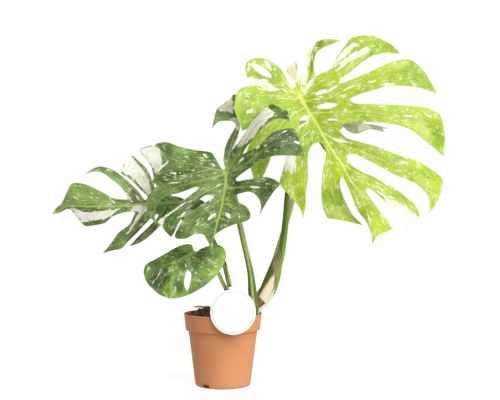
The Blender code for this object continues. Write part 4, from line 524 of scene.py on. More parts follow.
LEAF_D = {
    "outline": [(-6.4, 29.4), (-6.7, 30.4), (-7.5, 30.7), (-8.4, 30.6), (-9.9, 30.1), (-12.3, 28.8),
        (-14.9, 27.3), (-16.7, 26.3), (-17.3, 24.8), (-17.1, 23.6), (-16.6, 22.3), (-15.5, 21.1),
        (-13.9, 19.7), (-11.8, 18.8, TIP), (-9.9, 18.9), (-7.8, 19.5), (-5.9, 20.4), (-3.4, 22), (-1.4, 23.9),
        (-0.2, 25.6), (0.5, 27.2), (0.7, 28.4), (0.3, 29.7), (-0.9, 30.5), (-2.7, 30.4), (-4.6, 29.8),
        (-5.7, 29.1)],
    "slits": [
        [(-7.8, 25.1), (-7, 24.4), (-7, 23.1), (-7.4, 21.3), (-7.8, 20.4, TIP), (-8.4, 21.6), (-8.4, 22.9),
         (-8.1, 24.1)]],
    "midrib": [(-6.3, 29, -8.2), (-9.1, 27.3, -9.8), (-10.9, 25.9, -10.8), (-12, 23.7, -12),
        (-12.2, 21.6, -12.8), (-11.9, 19.7, -13.2)],
    "veins": [
        [(-6.5, 29.1, -8.3), (-9.4, 28.9, -9), (-12.4, 27.9, -9.6), (-15.5, 26, -10)],
        [(-8.5, 27.7, -9.5), (-11.5, 26.5, -10.4), (-14.2, 24.8, -11), (-15.9, 22.9, -11.4)],
        [(-10.9, 25.9, -10.8), (-12.6, 23.9, -11.4), (-13.9, 21.4, -12)],
        [(-6.3, 29, -8.2), (-3.7, 29, -8), (-1.5, 28.1, -7.6)],
        [(-7.2, 28.4, -8.8), (-4.8, 26.8, -9.2), (-2.6, 25.3, -9)],
        [(-8.5, 27.7, -9.5), (-6.1, 25, -10.4), (-4.1, 23.1, -10.4)],
        [(-10.2, 26.3, -10.4), (-9.6, 23.7, -11.6), (-9.3, 20.2, -12)]],
    "streaks": [(-14, 24, 3.4, 0.35, 60), (-9.3, 24.1, 3, 0.35, 78), (-16.3, 25.2, 1.8, 0.5, 65),
        (-10.6, 26.5, 1.4, 0.3, 30), (-8.1, 26, 1.5, 0.4, -70), (-15.2, 22.5, 1.8, 0.3, 65),
        (-5.9, 24.3, 1.5, 0.35, 80), (-4.4, 26.4, 0.7, 0.3, 0), (-11.6, 24.4, 1.6, 0.25, 65),
        (-7.4, 27.4, 0.9, 0.3, 20), (-2, 28.6, 0.7, 0.3, 40), (-0.8, 26.6, 0.8, 0.3, 60),
        (-12.8, 20.3, 1.2, 0.3, 75)],
    "pale": [(-0.7, 26.5, 9.5, 3.4, 62), (-8.1, 30, 4.6, 2.2, 10)],
    "dark": [(-13.8, 23.4, 8.5, 5.6, 55), (-9.8, 21.6, 5, 3, 100)],
    "fading": (1.0, 0.1, 0.55),
}

# The hidden blade is drawn in its own plane: (along the midrib, across it), heights above that plane
E_ORIGIN = np.array((20.0, 9.3, 58.2))
E_ALONG = np.array((0.82, 0.57, 0.02))
E_ACROSS = np.array((-0.56, 0.81, 0.12))
E_HALF_OUTLINE = [
    (0.5, 0.35), (-1.7, 1.7), (-2.9, 4.0), (-2.5, 6.4), (-0.7, 8.6), (2.5, 10.2, TIP), (2.2, 8.2), (2.4, 6.2),
    (3.4, 4.5), (4.4, 4.7), (4.8, 6.9), (6.3, 9.1), (9.2, 10.6, TIP), (8.7, 8.0), (8.5, 5.6), (9.1, 3.7),
    (10.1, 3.9), (11.0, 5.9), (12.7, 7.8), (15.4, 8.6, TIP), (14.6, 6.5), (14.0, 4.6), (14.4, 2.9),
    (15.3, 3.1), (16.4, 4.4), (18.6, 5.0, TIP), (18.9, 3.0), (20.2, 1.5)]
E_LENGTH = 22.4
E_HALF_VEINS = [
    [(0.2, 0.3, 0), (-0.7, 3.2, -0.2), (-0.6, 6.2, -1.0), (1.8, 9.2, -2.4)],
    [(1.8, 0.3, 0), (3.8, 3.0, -0.1), (5.6, 6.2, -0.8), (8.3, 9.7, -2.0)],
    [(5.6, 0.3, 0), (8.2, 2.8, -0.2), (11.4, 5.2, -0.9), (14.5, 7.9, -2.0)],
    [(10.4, 0.3, -0.1), (13.2, 2.3, -0.5), (16.0, 3.5, -1.2), (18.2, 4.5, -2.0)]]
E_MIDRIB = [(0.9, 0, 0), (3.5, 0, 0.1), (7.5, 0, 0), (12, 0, -0.2), (16.5, 0, -0.8), (21.8, 0, -1.8)]
E_FRONT_RISE = [(0, -0.6, -3.0, -6.0), (0, 0.1, 0.5, 1.3), (0, 0.1, 0.6, 1.4), (0, 0.1, 0.6, 1.0)]
E_CREAM = [[(6.2, -8.8), (7.6, -7.8), (9.4, -7.8), (10.6, -9.6), (9.8, -12), (7.2, -11)],
           [(2, 4), (3.2, 5), (4.6, 8), (6.4, 9.6), (5.2, 5.6), (4, 3.6)]]
E_GREEN = [(14.3, -7.6, 8, 5, -45)]
# Painted light: pale ovals over most of the hidden blade, which lies in the shade of the largest leaf
E_PALE = [(4.5, -7, 13, 9, -80), (10, -4.5, 8, 5, -45), (8.3, -9.4, 5, 4, -60), (2, -2.5, 6, 4, -90)]


def srgb(red, green, blue):
    """Screen values from 0 to 255 as a linear colour."""
    def linear(value):
        value /= 255
        return value / 12.92 if value <= 0.04045 else ((value + 0.055) / 1.055) ** 2.4
    return (linear(red), linear(green), linear(blue), 1.0)


def darker(colour, share):
    return tuple(share * part for part in colour[:3]) + (1,)


def smooth(values, low, high):
    """Zero up to the low value, one from the high value, and a soft rise between them."""
    t = np.clip((np.asarray(values, float) - low) / (high - low), 0, 1)
    return t * t * (3 - 2 * t)


def bell(values, middle, width):
    return np.exp(-((values - middle) / width) ** 2)


def unit(rows):
    """A vector or rows of vectors, made one long."""
    return rows / np.maximum(np.linalg.norm(rows, axis=-1, keepdims=True), TINY)


def circle(count):
    return np.linspace(0, 2 * math.pi, count, endpoint=False)


def spread(count):
    """From -1 to 1 in even steps."""
    return 2 * np.arange(count) / (count - 1) - 1


def wavy(*place):
    return noise.noise(Vector(place))


class Paint:
    """A material and short calls for the nodes it is made of."""

    def __init__(self, name, roughness=0.5, specular=0.4, **sockets):
        self.material = bpy.data.materials.new(name)
        self.material.use_nodes = True
        self.tree = self.material.node_tree
        self.shader = self.tree.nodes["Principled BSDF"]
        sockets |= {"Roughness": roughness, "Specular_IOR_Level": specular}
        for socket, value in sockets.items():
            self.shader.inputs[socket.replace("_", " ")].default_value = value

    def feed(self, socket, value):
        if isinstance(value, bpy.types.NodeSocket):
            self.tree.links.new(value, socket)
        else:
            socket.default_value = value

    def node(self, kind, values, out=0, **settings):
        made = self.tree.nodes.new(kind)
        for name, value in settings.items():
            setattr(made, name, value)
        for key, value in values.items():
            self.feed(made.inputs[key], value)
        return made.outputs[out]

    def number(self, name):
        return self.node("ShaderNodeAttribute", {}, "Fac", attribute_name=name)

    def vector(self, name):
        return self.node("ShaderNodeAttribute", {}, "Vector", attribute_name=name)

    def place(self):
        return self.node("ShaderNodeTexCoord", {}, "Object")

    def noise(self, vector, scale, detail=2.0, roughness=0.5):
        values = {"Vector": vector, "Scale": scale, "Detail": detail, "Roughness": roughness}
        return self.node("ShaderNodeTexNoise", values)

    def fibres(self, vector, scale, detail=2.0, roughness=0.5):
        """Noise with a scale of its own along each axis."""
        drawn = self.node("ShaderNodeMapping", {"Vector": vector, "Scale": scale})
        return self.noise(drawn, 1.0, detail, roughness)

    def strokes(self, length, width, start, detail=1.0):
        """Noise drawn out along the blade's grain: the strongest of a few fixed directions at each point."""
        flat, grain = self.vector("flat"), self.vector("grain")
        best = None
        for way in range(GRAIN_WAYS):
            turn = math.pi * way / GRAIN_WAYS
            place = [start + way * shift for shift in GRAIN_SHIFT] + [0]
            values = {"Vector": flat, "Location": place, "Rotation": (0, 0, turn),
                      "Scale": (length, width, 1)}
            marks = self.noise(self.node("ShaderNodeMapping", values, vector_type="TEXTURE"), 1.0, detail)
            values = {0: grain, 1: (math.cos(2 * turn), math.sin(2 * turn), 0)}
            fit = self.node("ShaderNodeVectorMath", values, 1, operation="DOT_PRODUCT")
            marks = self.plus(marks, self.times(self.less(fit, 1.0), GRAIN_PULL))
            best = marks if best is None else self.most(best, marks)
        return best

    def math(self, operation, a, b):
        return self.node("ShaderNodeMath", {0: a, 1: b}, operation=operation)

    def plus(self, a, b):
        return self.math("ADD", a, b)

    def less(self, a, b):
        return self.math("SUBTRACT", a, b)

    def times(self, a, b):
        return self.math("MULTIPLY", a, b)

    def most(self, a, b):
        return self.math("MAXIMUM", a, b)

    def step(self, value, low, high):
        values = {"Value": value, "From Min": low, "From Max": high}
        return self.node("ShaderNodeMapRange", values, interpolation_type="SMOOTHSTEP")

    def between(self, value, low, high):
        return self.node("ShaderNodeMapRange", {"Value": value, "To Min": low, "To Max": high})

    def mix(self, share, a, b):
        return self.node("ShaderNodeMix", {0: share, 6: a, 7: b}, 2, data_type="RGBA")

    def lay(self, colour, other, value, low, high, share=None):
        """A colour with another laid over it where the value is high."""
        cover = self.step(value, low, high)
        return self.mix(cover if share is None else self.times(cover, share), colour, other)

    def bump(self, height, distance, **below):
        values = {"Height": height, "Distance": distance, "Strength": 1.0}
        return self.node("ShaderNodeBump", values | below)

    def finish(self, **sockets):
        """The material, with its shader's sockets fed."""
        for socket, value in sockets.items():
            self.feed(self.shader.inputs[socket.replace("_", " ")], value)
        return self.material


def leaf_paint(name, colours, ragged_by, pale_back=0.45, sparse=0.0, streaked=0.5):
    """Variegated leaf: green tissue, cream flecks drawn out along the veins, cream sectors and pale veins,
    with painted shade beside the veins and in the dark ovals, and painted light in the pale ovals.
    """
    deep, bright, pale, cream, beige, vein, under, fleck, tan = (srgb(*colour) for colour in colours)
    p = Paint(name, specular=0.3, Subsurface_Weight=0.4, Subsurface_Radius=(1, 1, 0.6),
              Subsurface_Scale=0.0015)
    flat = p.vector("flat")
    patchy = p.noise(flat, 0.5, 3, 0.6)
    dashes = p.strokes(1.35, 0.28, 11.0, 2.0)
    ribbons = p.strokes(5.5, 0.8, 23.0, 3.0)

    green = p.lay(deep, bright, p.noise(flat, 0.16, 3), 0.38, 0.62)
    green = p.lay(green, pale, patchy, 0.5, 0.72, 0.25)
    # Pale ovals: paler green, partly the tissue's own and partly painted highlight and painted light
    green = p.mix(p.times(p.number("pale"), 0.6), green, pale)
    green = p.lay(green, pale, ribbons, 0.5, 0.66, 0.3)
    # Painted shade: darker green beside the sunken veins and in the dark ovals
    painted_shade = p.most(p.times(p.number("vein_shade"), 0.25), p.times(p.number("dark"), 0.8))
    green = p.mix(painted_shade, green, darker(deep, 0.5))

    dust = p.plus(p.noise(flat, 3.6, 3, 0.7), p.times(patchy, 0.5))
    specks = p.step(dust, *(edge + sparse for edge in SPECK_EDGE))
    lines = p.step(p.plus(dashes, p.times(patchy, 0.4)), *(edge + sparse for edge in DASH_EDGE))
    green = p.mix(p.most(p.times(specks, 0.5), lines), green, fleck)
    green = p.mix(p.times(p.number("under"), pale_back), green, under)

    tinted = p.lay(cream, beige, patchy, 0.42, 0.62)
    tinted = p.lay(tinted, pale, p.plus(dashes, p.times(patchy, 0.3)), 0.7, 0.8, streaked)
    ragged = p.times(p.less(ribbons, NOISE_MIDDLE), ragged_by)
    ragged = p.plus(ragged, p.times(p.less(dashes, NOISE_MIDDLE), 0.3 * ragged_by))
    colour = p.lay(green, tinted, p.plus(p.number("cream"), ragged), -0.05, 0.12)
    colour = p.mix(p.number("tan"), colour, tan)

    colour = p.mix(p.number("vein"), colour, vein)
    colour = p.mix(p.times(p.number("midrib"), 0.95), colour, vein)
    colour = p.lay(colour, vein, p.number("edge"), EDGE_LINE, 0.0, 0.4)
    ribs = p.bump(p.strokes(3.5, 0.35, 41.0), 0.0008)
    skin = p.bump(p.noise(p.place(), 900, 2), 0.00012, Normal=ribs)
    return p.finish(Base_Color=colour, Roughness=p.between(patchy, 0.36, 0.52), Normal=skin)


def petiole_paint(name, dark, green, light, cream=(220, 214, 170), brown=(150, 112, 76)):
    """Stalk skin: fine lengthwise lines, a pale stripe that is partly painted highlight, painted shade along
    its sides, a cream sheath foot and its dried brown band.
    """
    dark, green, light, cream, brown = (srgb(*colour) for colour in (dark, green, light, cream, brown))
    p = Paint(name, specular=0.35)
    along = p.vector("along")
    lines = p.fibres(along, (5.0, 5.0, 0.22), 3)
    colour = p.lay(dark, green, lines, 0.2, 0.6)
    colour = p.lay(colour, light, p.fibres(along, (0.8, 0.8, 0.3)), 0.45, 0.7, 0.25)
    # Painted shade on the stalk's sides, then a pale stripe that is partly painted highlight
    colour = p.mix(p.number("shade"), colour, dark)
    colour = p.mix(p.number("stripe_and_highlight"), colour, light)
    colour = p.lay(colour, light, p.fibres(along, (7.0, 7.0, 3.0), 1), 0.66, 0.72, 0.3)
    ragged = p.times(p.less(lines, 0.5), 0.6)
    sheath = p.plus(p.number("sheath"), ragged)
    colour = p.lay(colour, srgb(234, 198, 122), sheath, 0.15, 0.45)
    colour = p.lay(colour, cream, sheath, 0.5, 1.0)
    band = p.lay(brown, srgb(190, 160, 128), lines, 0.42, 0.62)
    colour = p.lay(colour, band, p.plus(p.number("dry"), ragged), 0.2, 0.85)
    return p.finish(Base_Color=colour, Roughness=p.between(lines, 0.38, 0.55), Normal=p.bump(lines, 0.0005))


def pot_paint():
    """Terracotta-coloured moulded plastic, a little scuffed and dusty, with faint flow marks."""
    p = Paint("pot_plastic", specular=0.12)
    place = p.place()
    flow = p.fibres(place, (60, 60, 5))
    dust = p.noise(place, 160, 3, 0.7)
    colour = p.lay(srgb(230, 153, 102), srgb(235, 162, 111), p.noise(place, 9, 3), 0.3, 0.7)
    colour = p.lay(colour, srgb(234, 168, 120), flow, 0.5, 0.75, 0.2)
    colour = p.lay(colour, srgb(236, 182, 142), dust, 0.62, 0.78, 0.2)
    colour = p.lay(colour, srgb(96, 62, 42), dust, 0.35, 0.6, p.number("soiled"))
    skin = p.bump(p.noise(place, 500), 0.00012, Normal=p.bump(flow, 0.0003))
    return p.finish(Base_Color=colour, Roughness=p.between(dust, 0.4, 0.62), Normal=skin)


def soil_paint():
    """Dark potting soil. Each bark chip carries its own shade."""
    p = Paint("soil_mix", specular=0.2)
    place, chip = p.place(), p.number("chip")
    grain = p.noise(place, 420, 4, 0.7)
    earth = p.lay(srgb(46, 36, 27), srgb(100, 80, 60), grain, 0.35, 0.7)
    bark = p.mix(chip, srgb(74, 58, 44), srgb(152, 130, 106))
    bark = p.lay(bark, srgb(40, 27, 19), p.fibres(place, (260, 900, 260), 3), 0.4, 0.65, 0.5)
    colour = p.lay(earth, bark, chip, 0.01, 0.03)
    return p.finish(Base_Color=colour, Roughness=p.step(grain, -1.5, 1.0), Normal=p.bump(grain, 0.0016))


def stem_paint():
    """Green-brown rhizome with pale ring scars."""
    p = Paint("rhizome", roughness=0.6, specular=0.3)
    rings = p.fibres(p.vector("along"), (0.5, 3.2, 1), 3)
    colour = p.lay(srgb(86, 92, 44), srgb(122, 104, 66), rings, 0.4, 0.6)
    return p.finish(Base_Color=colour, Normal=p.bump(rings, 0.001))


def husk_paint(name, dark, light):
    """Papery dried sheath with lengthwise fibres and a darker rim."""
    p = Paint(name, roughness=0.8, specular=0.2)
    dark, light, along = srgb(*dark), srgb(*light), p.vector("along")
    fibres = p.fibres(along, (6.0, 0.5, 1), 4, 0.65)
    colour = p.lay(dark, light, fibres, 0.35, 0.65)
    colour = p.lay(colour, dark, p.fibres(along, (1.2, 0.6, 1), 3), 0.5, 0.7, 0.5)
    colour = p.mix(p.times(p.number("scorch"), 0.85), colour, darker(dark, 0.3))
    return p.finish(Base_Color=colour, Normal=p.bump(fibres, 0.001))


def tag_paint():
    """Matt white card with a thin grey line just inside its edge."""
    p = Paint("tag_card_white", specular=0.3)
    reach = p.number("reach")
    line = p.less(*(p.step(reach, *fade) for fade in TAG_LINE))
    fibre = p.noise(p.place(), 700, 3)
    card = p.lay(srgb(251, 250, 247), srgb(255, 254, 251), fibre, 0.3, 0.7)
    colour = p.mix(p.times(line, 0.7), card, srgb(172, 176, 186))
    return p.finish(Base_Color=colour, Normal=p.bump(fibre, 0.00006))


def white_paint(name, shade, glow):
    """Studio white that glows a little, so that it stays white around the plant."""
    p = Paint(name, roughness=0.9, specular=0.0, Emission_Color=(1, 1, 1, 1), Emission_Strength=glow)
    shade = (shade,) * 3 + (1,)
    return p.finish(Base_Color=p.mix(p.noise(p.place(), 3), darker(shade, 0.98), shade))


def piece(name, points, faces, paint, node, numbers=None, vectors=None, sharp=None):
    """One visible piece in the frame, standing for a CAD node."""
    mesh = bpy.data.meshes.new(name)
    mesh.from_pydata((np.asarray(points) * CM).tolist(), [], faces)
    mesh.materials.append(paint)
    mesh.shade_smooth()
    for key, values in (numbers or {}).items():
        mesh.attributes.new(key, "FLOAT", "POINT").data.foreach_set("value", np.asarray(values, np.float32))
    for key, values in (vectors or {}).items():
        layer = mesh.attributes.new(key, "FLOAT_VECTOR", "POINT")
        layer.data.foreach_set("vector", np.asarray(values, np.float32).ravel())
    if sharp:
        for edge in mesh.edges:
            edge.use_edge_sharp = tuple(sorted(edge.vertices)) in sharp
    made = bpy.data.objects.new(name, mesh)
    bpy.context.scene.collection.objects.link(made)
    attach(made, "root")
    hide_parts(node)
    return made


def spline(points, step, closed=False):
    """A smooth curve through the points; in a closed one, points marked TIP are corners."""
    corner = [closed and len(p) == 3 for p in points]
    rows = [np.array(p[:2] if tip else p, float) for p, tip in zip(points, corner)]
    count = len(rows)
    curve = []
    for i in range(count if closed else count - 1):
        a, b = rows[i], rows[(i + 1) % count]
        before = rows[i - 1] if (closed or i) and not corner[i] else a
        more = (i + 2) % count if closed else min(i + 2, count - 1)
        after = rows[more] if not corner[(i + 1) % count] else b
        slope_a, slope_b = (b - before) / 2, (after - a) / 2
        pieces = max(1, round(float(np.linalg.norm(b - a)) / step))
        for k in range(pieces):
            t = k / pieces
            curve.append((2 * t**3 - 3 * t**2 + 1) * a + (t**3 - 2 * t**2 + t) * slope_a
                         + (3 * t**2 - 2 * t**3) * b + (t**3 - t**2) * slope_b)
    return np.array(curve if closed else curve + [rows[-1]])


def away_from(points, line):
    """Distance of plane points from a polyline, and the share of its length at the nearest spot."""
    best = np.full(len(points), np.inf)
    share = np.zeros(len(points))
    lengths = np.linalg.norm(np.diff(line, axis=0), axis=1)
    done = 0.0
    for a, b, length in zip(line[:-1], line[1:], lengths):
        t = np.clip(((points - a) @ (b - a)) / max(length**2, TINY), 0, 1)
        far = np.linalg.norm(points - (a + t[:, None] * (b - a)), axis=1)
        nearer = far < best
        best[nearer] = far[nearer]
        share[nearer] = ((done + t * length) / lengths.sum())[nearer]
        done += length
    return best, share


def off_lines(points, lines):
    """Distance of plane points from the nearest of some polylines."""
    return np.min([away_from(points, line)[0] for line in lines], axis=0)


def off_loops(points, loops):
    return off_lines(points, [np.vstack([loop, loop[:1]]) for loop in loops])


def inside(points, loop):
    """Which plane points lie inside a closed loop."""
    x, y = points[:, 0], points[:, 1]
    odd = np.zeros(len(points), bool)
    for a, b in zip(loop, np.roll(loop, -1, axis=0)):
        crosses = (a[1] > y) != (b[1] > y)
        with np.errstate(divide="ignore", invalid="ignore"):
            odd ^= crosses & (x < (b[0] - a[0]) * (y - a[1]) / (b[1] - a[1]) + a[0])
    return odd


def on_blade(points, loops):
    """Which plane points lie inside the first loop and outside the others."""
    keep = inside(points, loops[0])
    for loop in loops[1:]:
        keep &= ~inside(points, loop)
    return keep


def oval_field(points, ovals):
    """One at the middle of any of the ovals, zero on its edge and below outside."""
    field = np.full(len(points), -1.0)
    for x, z, length, width, degrees in ovals:
        turn = math.radians(degrees)
        off = points - (x, z)
        u = off[:, 0] * math.cos(turn) + off[:, 1] * math.sin(turn)
        v = off[:, 1] * math.cos(turn) - off[:, 0] * math.sin(turn)
        field = np.maximum(field, 1 - np.hypot(u * 2 / length, v * 2 / width))
    return field


def cream_field(points, leaf):
    """Depth inside the cream sectors in centimetres, negative outside, with the streaks added."""
    field = np.full(len(points), -PATCH_REACH)
    for sector in leaf.get("cream", []):
        loop = np.array(sector, float)
        depth = off_loops(points, [loop])
        field = np.maximum(field, np.where(inside(points, loop), depth, -depth))
    return np.maximum(field, oval_field(points, leaf.get("streaks", [])) * STREAK_DEPTH)


def thin_plate(controls):
    """A smooth surface through scattered heights, as a function of plane points."""
    spots, heights = np.array(controls)[:, :2], np.array(controls)[:, 2]

    def bend(a, b):
        far = np.linalg.norm(a[:, None, :] - b[None, :, :], axis=2)
        return np.where(far > SAME_SPOT, far**2 * np.log(np.maximum(far, SAME_SPOT)), 0.0)

    count = len(spots)
    system = np.zeros((count + 3, count + 3))
    system[:count, :count] = bend(spots, spots) + np.eye(count) * PLATE_SMOOTHING
    system[:count, count:] = np.hstack([np.ones((count, 1)), spots])
    system[count:, :count] = system[:count, count:].T
    weights = np.linalg.solve(system, np.concatenate([heights, np.zeros(3)]))
    return lambda p: bend(p, spots) @ weights[:count] + weights[count] + p @ weights[count + 1:]


def ellipse(x, z, length, width, degrees):
    turn = math.radians(degrees)
    angle = circle(HOLE_SIDES)
    u, v = length / 2 * np.cos(angle), width / 2 * np.sin(angle)
    return np.stack([x + u * math.cos(turn) - v * math.sin(turn),
                     z + u * math.sin(turn) + v * math.cos(turn)], axis=1)


def seen_from_eye(flat, depth):
    """Plane points (x, z) as seen from the eye, moved back or forward along the line of sight."""
    scale = (depth - EYE[1]) / -EYE[1]
    x = EYE[0] + (flat[:, 0] - EYE[0]) * scale
    z = EYE[2] + (flat[:, 1] - EYE[2]) * scale
    return np.stack([x, depth, z], axis=1)


def own_plane(flat, height):
    up = np.cross(E_ALONG, E_ACROSS)
    return E_ORIGIN + flat[:, :1] * E_ALONG + flat[:, 1:] * E_ACROSS + height[:, None] * up


def mirrored_leaf():
    """The hidden blade from its half outline."""
    other = [(p[0], -p[1], *p[2:]) for p in reversed(E_HALF_OUTLINE)]
    front = [[(u, -v, h + rise) for (u, v, h), rise in zip(vein, rises)]
             for vein, rises in zip(E_HALF_VEINS, E_FRONT_RISE)]
    return {"outline": E_HALF_OUTLINE + [(E_LENGTH, 0, TIP)] + other, "midrib": E_MIDRIB,
            "veins": E_HALF_VEINS + front, "cream": E_CREAM, "tan": E_GREEN, "pale": E_PALE}


def plate_of(leaf):
    return thin_plate(list(leaf["midrib"]) + [row for vein in leaf["veins"] for row in vein[1:]])


def quilted(near, leaf):
    return QUILT * (1 - bell(near, 0, QUILT_REACH)) * leaf["up"]


def lattice(low, high, step):
    """A triangular lattice of points over a box."""
    rows = []
    for j, v in enumerate(np.arange(low[1], high[1], step * GRID_ROW)):
        u = np.arange(low[0] + (j % 2) * step / 2, high[0], step)
        rows.append(np.stack([u, np.full(len(u), v)], axis=1))
    return np.vstack(rows)


def beside(line, reach):
    """A polyline's points moved sideways."""
    along = unit(np.gradient(line, axis=0))
    return line + reach * np.stack([-along[:, 1], along[:, 0]], axis=1)


def blade_lines(leaf):
    """A blade's outline, slits and holes as closed loops, and its midrib and veins as open lines."""
    loops = [spline(loop, EDGE_STEP, closed=True) for loop in [leaf["outline"]] + leaf.get("slits", [])]
    loops += [ellipse(*hole) for hole in leaf.get("holes", [])]
    return loops, [spline([row[:2] for row in line], VEIN_STEP) for line in [leaf["midrib"]] + leaf["veins"]]


def free_points(loops, lines):
    """Points between the lines: rows beside every vein, and a lattice over the rest of the blade."""
    reaches = [side * reach for reach in VEIN_ROWS for side in (-1, 1)]
    rows = np.vstack([beside(line, reach) for line in lines for reach in reaches])
    grid = lattice(loops[0].min(axis=0), loops[0].max(axis=0), GRID)
    grid = grid[off_lines(grid, lines) > GRID_CLEARANCE]
    free = np.vstack([rows[off_lines(rows, lines) > ROW_CLEARANCE], grid])
    free = free[on_blade(free, loops)]
    return free[off_loops(free, loops) > EDGE_CLEARANCE]


def blade_layout(leaf):
    """The blade's triangles in its own drawing, with every margin and vein along their edges."""
    loops, lines = blade_lines(leaf)
    chains = [(loop, 0) for loop in loops] + [(line[inside(line, loops[0])], 1) for line in lines]
    points, edges = [], []
    for chain, is_open in chains:
        start, count = len(points), len(chain)
        points += chain.tolist()
        edges += [(start + k, start + (k + 1) % count) for k in range(count - is_open)]
    points += free_points(loops, lines).tolist()
    result = geometry.delaunay_2d_cdt([Vector(p) for p in points], edges, [], 0, WELD)
    flat = np.array([tuple(v) for v in result[0]])
    tris = np.array([tuple(f) for f in result[2]])
    tris = tris[on_blade(flat[tris].mean(axis=1), loops)]
    used = np.unique(tris)
    return flat[used], np.searchsorted(used, tris), loops, lines


def grain_of(flat, lines):
    """The way the veins near each point run, as a vector of twice its angle, blended between the veins."""
    total = np.zeros((len(flat), 3))
    for line in lines:
        for a, b in zip(line[:-1], line[1:]):
            run = b - a
            turn = 2 * math.atan2(run[1], run[0])
            way = np.array((math.cos(turn), math.sin(turn), 0)) * np.linalg.norm(run)
            total += way / (away_from(flat, np.array((a, b)))[0]**3 + GRAIN_SOFTNESS)[:, None]
    return unit(total)


def ripple(flat, fade, length, height):
    wave = [wavy(u / length, v / length, SEED) for u, v in flat]
    return np.array(wave) * height * np.exp(-fade / RIPPLE_REACH)


def facing(middle, tris, face):
    """The normals at a blade's points, and its triangles, both turned towards its face."""
    corners = middle[tris]
    across = np.cross(corners[:, 1] - corners[:, 0], corners[:, 2] - corners[:, 0])
    normals = np.zeros_like(middle)
    for k in range(3):
        np.add.at(normals, tris[:, k], across)
    normals = unit(normals)
    if normals.mean(axis=0).dot(face) < 0:
        return -normals, tris[:, ::-1]
    return normals, tris


def blade_shell(middle, normals, ribs, tris):
    """Points and faces of a blade's two sheets and of the rim between them, and the rim's sharp edges."""
    count = len(middle)
    points = np.vstack([middle + normals * BLADE_HALF, middle - normals * (BLADE_HALF + ribs)[:, None]])
    faces = tris.tolist() + (tris[:, ::-1] + count).tolist()
    sides = {(int(t[k]), int(t[(k + 1) % 3])) for t in tris for k in range(3)}
    sharp = set()
    for a, b in sorted((a, b) for a, b in sides if (b, a) not in sides):
        faces += [(b, a, a + count), (b, a + count, b + count)]
        sharp |= {tuple(sorted((a, b))), tuple(sorted((a + count, b + count)))}
    return points, faces, sharp


def line_mark(far, share, half_width, narrowing, low, high):
    """How strongly the colour of a midrib or vein shows beside it."""
    return 1 - smooth(far / (half_width * (1 - narrowing * share)), low, high)


def blade_marks(leaf, flat, far, share, edge):
    """What the leaf's material needs at each point of both sheets."""
    veins = line_mark(far[1:], share[1:], *VEIN_LINE)
    veins *= VEIN_LINE_STRENGTH * (1 - VEIN_LINE_FADING * share[1:])
    midrib = line_mark(far[0], share[0], *MIDRIB_LINE)
    if "fading" in leaf:
        fading, start, end = leaf["fading"]
        midrib *= 1 - fading * smooth(share[0], start, end)
    root = np.linalg.norm(flat - leaf["midrib"][0][:2], axis=1)
    # vein_shade is painted shade, strongest right beside the veins
    numbers = {"midrib": np.maximum(midrib, 1 - smooth(root, *KNOT_REACH)), "vein": veins.max(axis=0),
               "edge": edge, "cream": cream_field(flat, leaf), "vein_shade": bell(far.min(axis=0), 0, VEIN_SHADE_REACH)}
    # The dark ovals give painted shade; the pale ovals give paler green, partly the tissue's own and partly
    # painted light
    for key in ("pale", "dark", "tan"):
        numbers[key] = smooth(oval_field(flat, leaf.get(key, [])), 0, OVAL_EDGE)
    numbers = {key: np.tile(values, 2) for key, values in numbers.items()}
    numbers["under"] = np.repeat((0.0, 1.0), len(flat))
    return numbers


def make_blade(key, leaf, place):
    """One thin blade: quilted between its veins, rippled at its margin, with ribs on the back."""
    flat, tris, loops, lines = blade_layout(leaf)
    far, share = (np.array(rows) for rows in zip(*(away_from(flat, line) for line in lines)))
    edge = off_loops(flat, loops)
    depth = plate_of(leaf)(flat) + quilted(far.min(axis=0), leaf)
    depth = depth + ripple(flat, edge, RIPPLE_LENGTH, RIPPLE) + ripple(flat, edge * 0, DIMPLE_LENGTH, DIMPLE)
    middle = place(flat, depth)
    normals, tris = facing(middle, tris, leaf["face"])
    midrib = MIDRIB_DEPTH * (1 - MIDRIB_THINNING * share[0]) * (1 - smooth(far[0], 0, MIDRIB_HALF_WIDTH))
    veins = VEIN_DEPTH * (1 - VEIN_THINNING * share[1:]) * (1 - smooth(far[1:], 0, VEIN_HALF_WIDTH))
    points, faces, sharp = blade_shell(middle, normals, np.maximum(midrib, veins.max(axis=0)), tris)
    vectors = {"flat": np.tile(np.hstack([flat, flat[:, :1] * 0]), (2, 1)),
               "grain": np.tile(grain_of(flat, lines), (2, 1))}
    skin, colours, settings = LEAF_SKINS[key]
    paint = leaf_paint(skin, colours, **settings)
    return piece(f"leaf_{key}_blade", points, faces, paint, f"leaf_{key}",
                 blade_marks(leaf, flat, far, share, edge), vectors, sharp)


def frames(rows, step):
    """Centres, sideways and forward axes and radii along a smooth path."""
    curve = spline(rows, step)
    centres, radii = curve[:, :3], curve[:, 3:]
    tangents = unit(np.gradient(centres, axis=0))
    side = np.array((1.0, 0, 0))
    sides = []
    for tangent in tangents:
        side = unit(side - tangent * side.dot(tangent))
        sides.append(side)
    return centres, np.array(sides), np.cross(tangents, sides), radii


def ring(side, forward, radius, angles):
    """Steps from a tube's centre to its skin, at angles round it."""
    return side * np.cos(angles)[:, None] * radius[0] + forward * np.sin(angles)[:, None] * radius[1]


def at_height(parts, height):
    """Centre, sideways and forward axes, radii and direction of a tube where it passes a height."""
    centres = parts[0]
    row = next(i for i in range(len(centres) - 1) if centres[i + 1][2] > height)
    share = (height - centres[row][2]) / (centres[row + 1][2] - centres[row][2])
    mixed = [(1 - share) * part[row] + share * part[row + 1] for part in parts]
    return (*mixed, unit(centres[row + 1] - centres[row]))


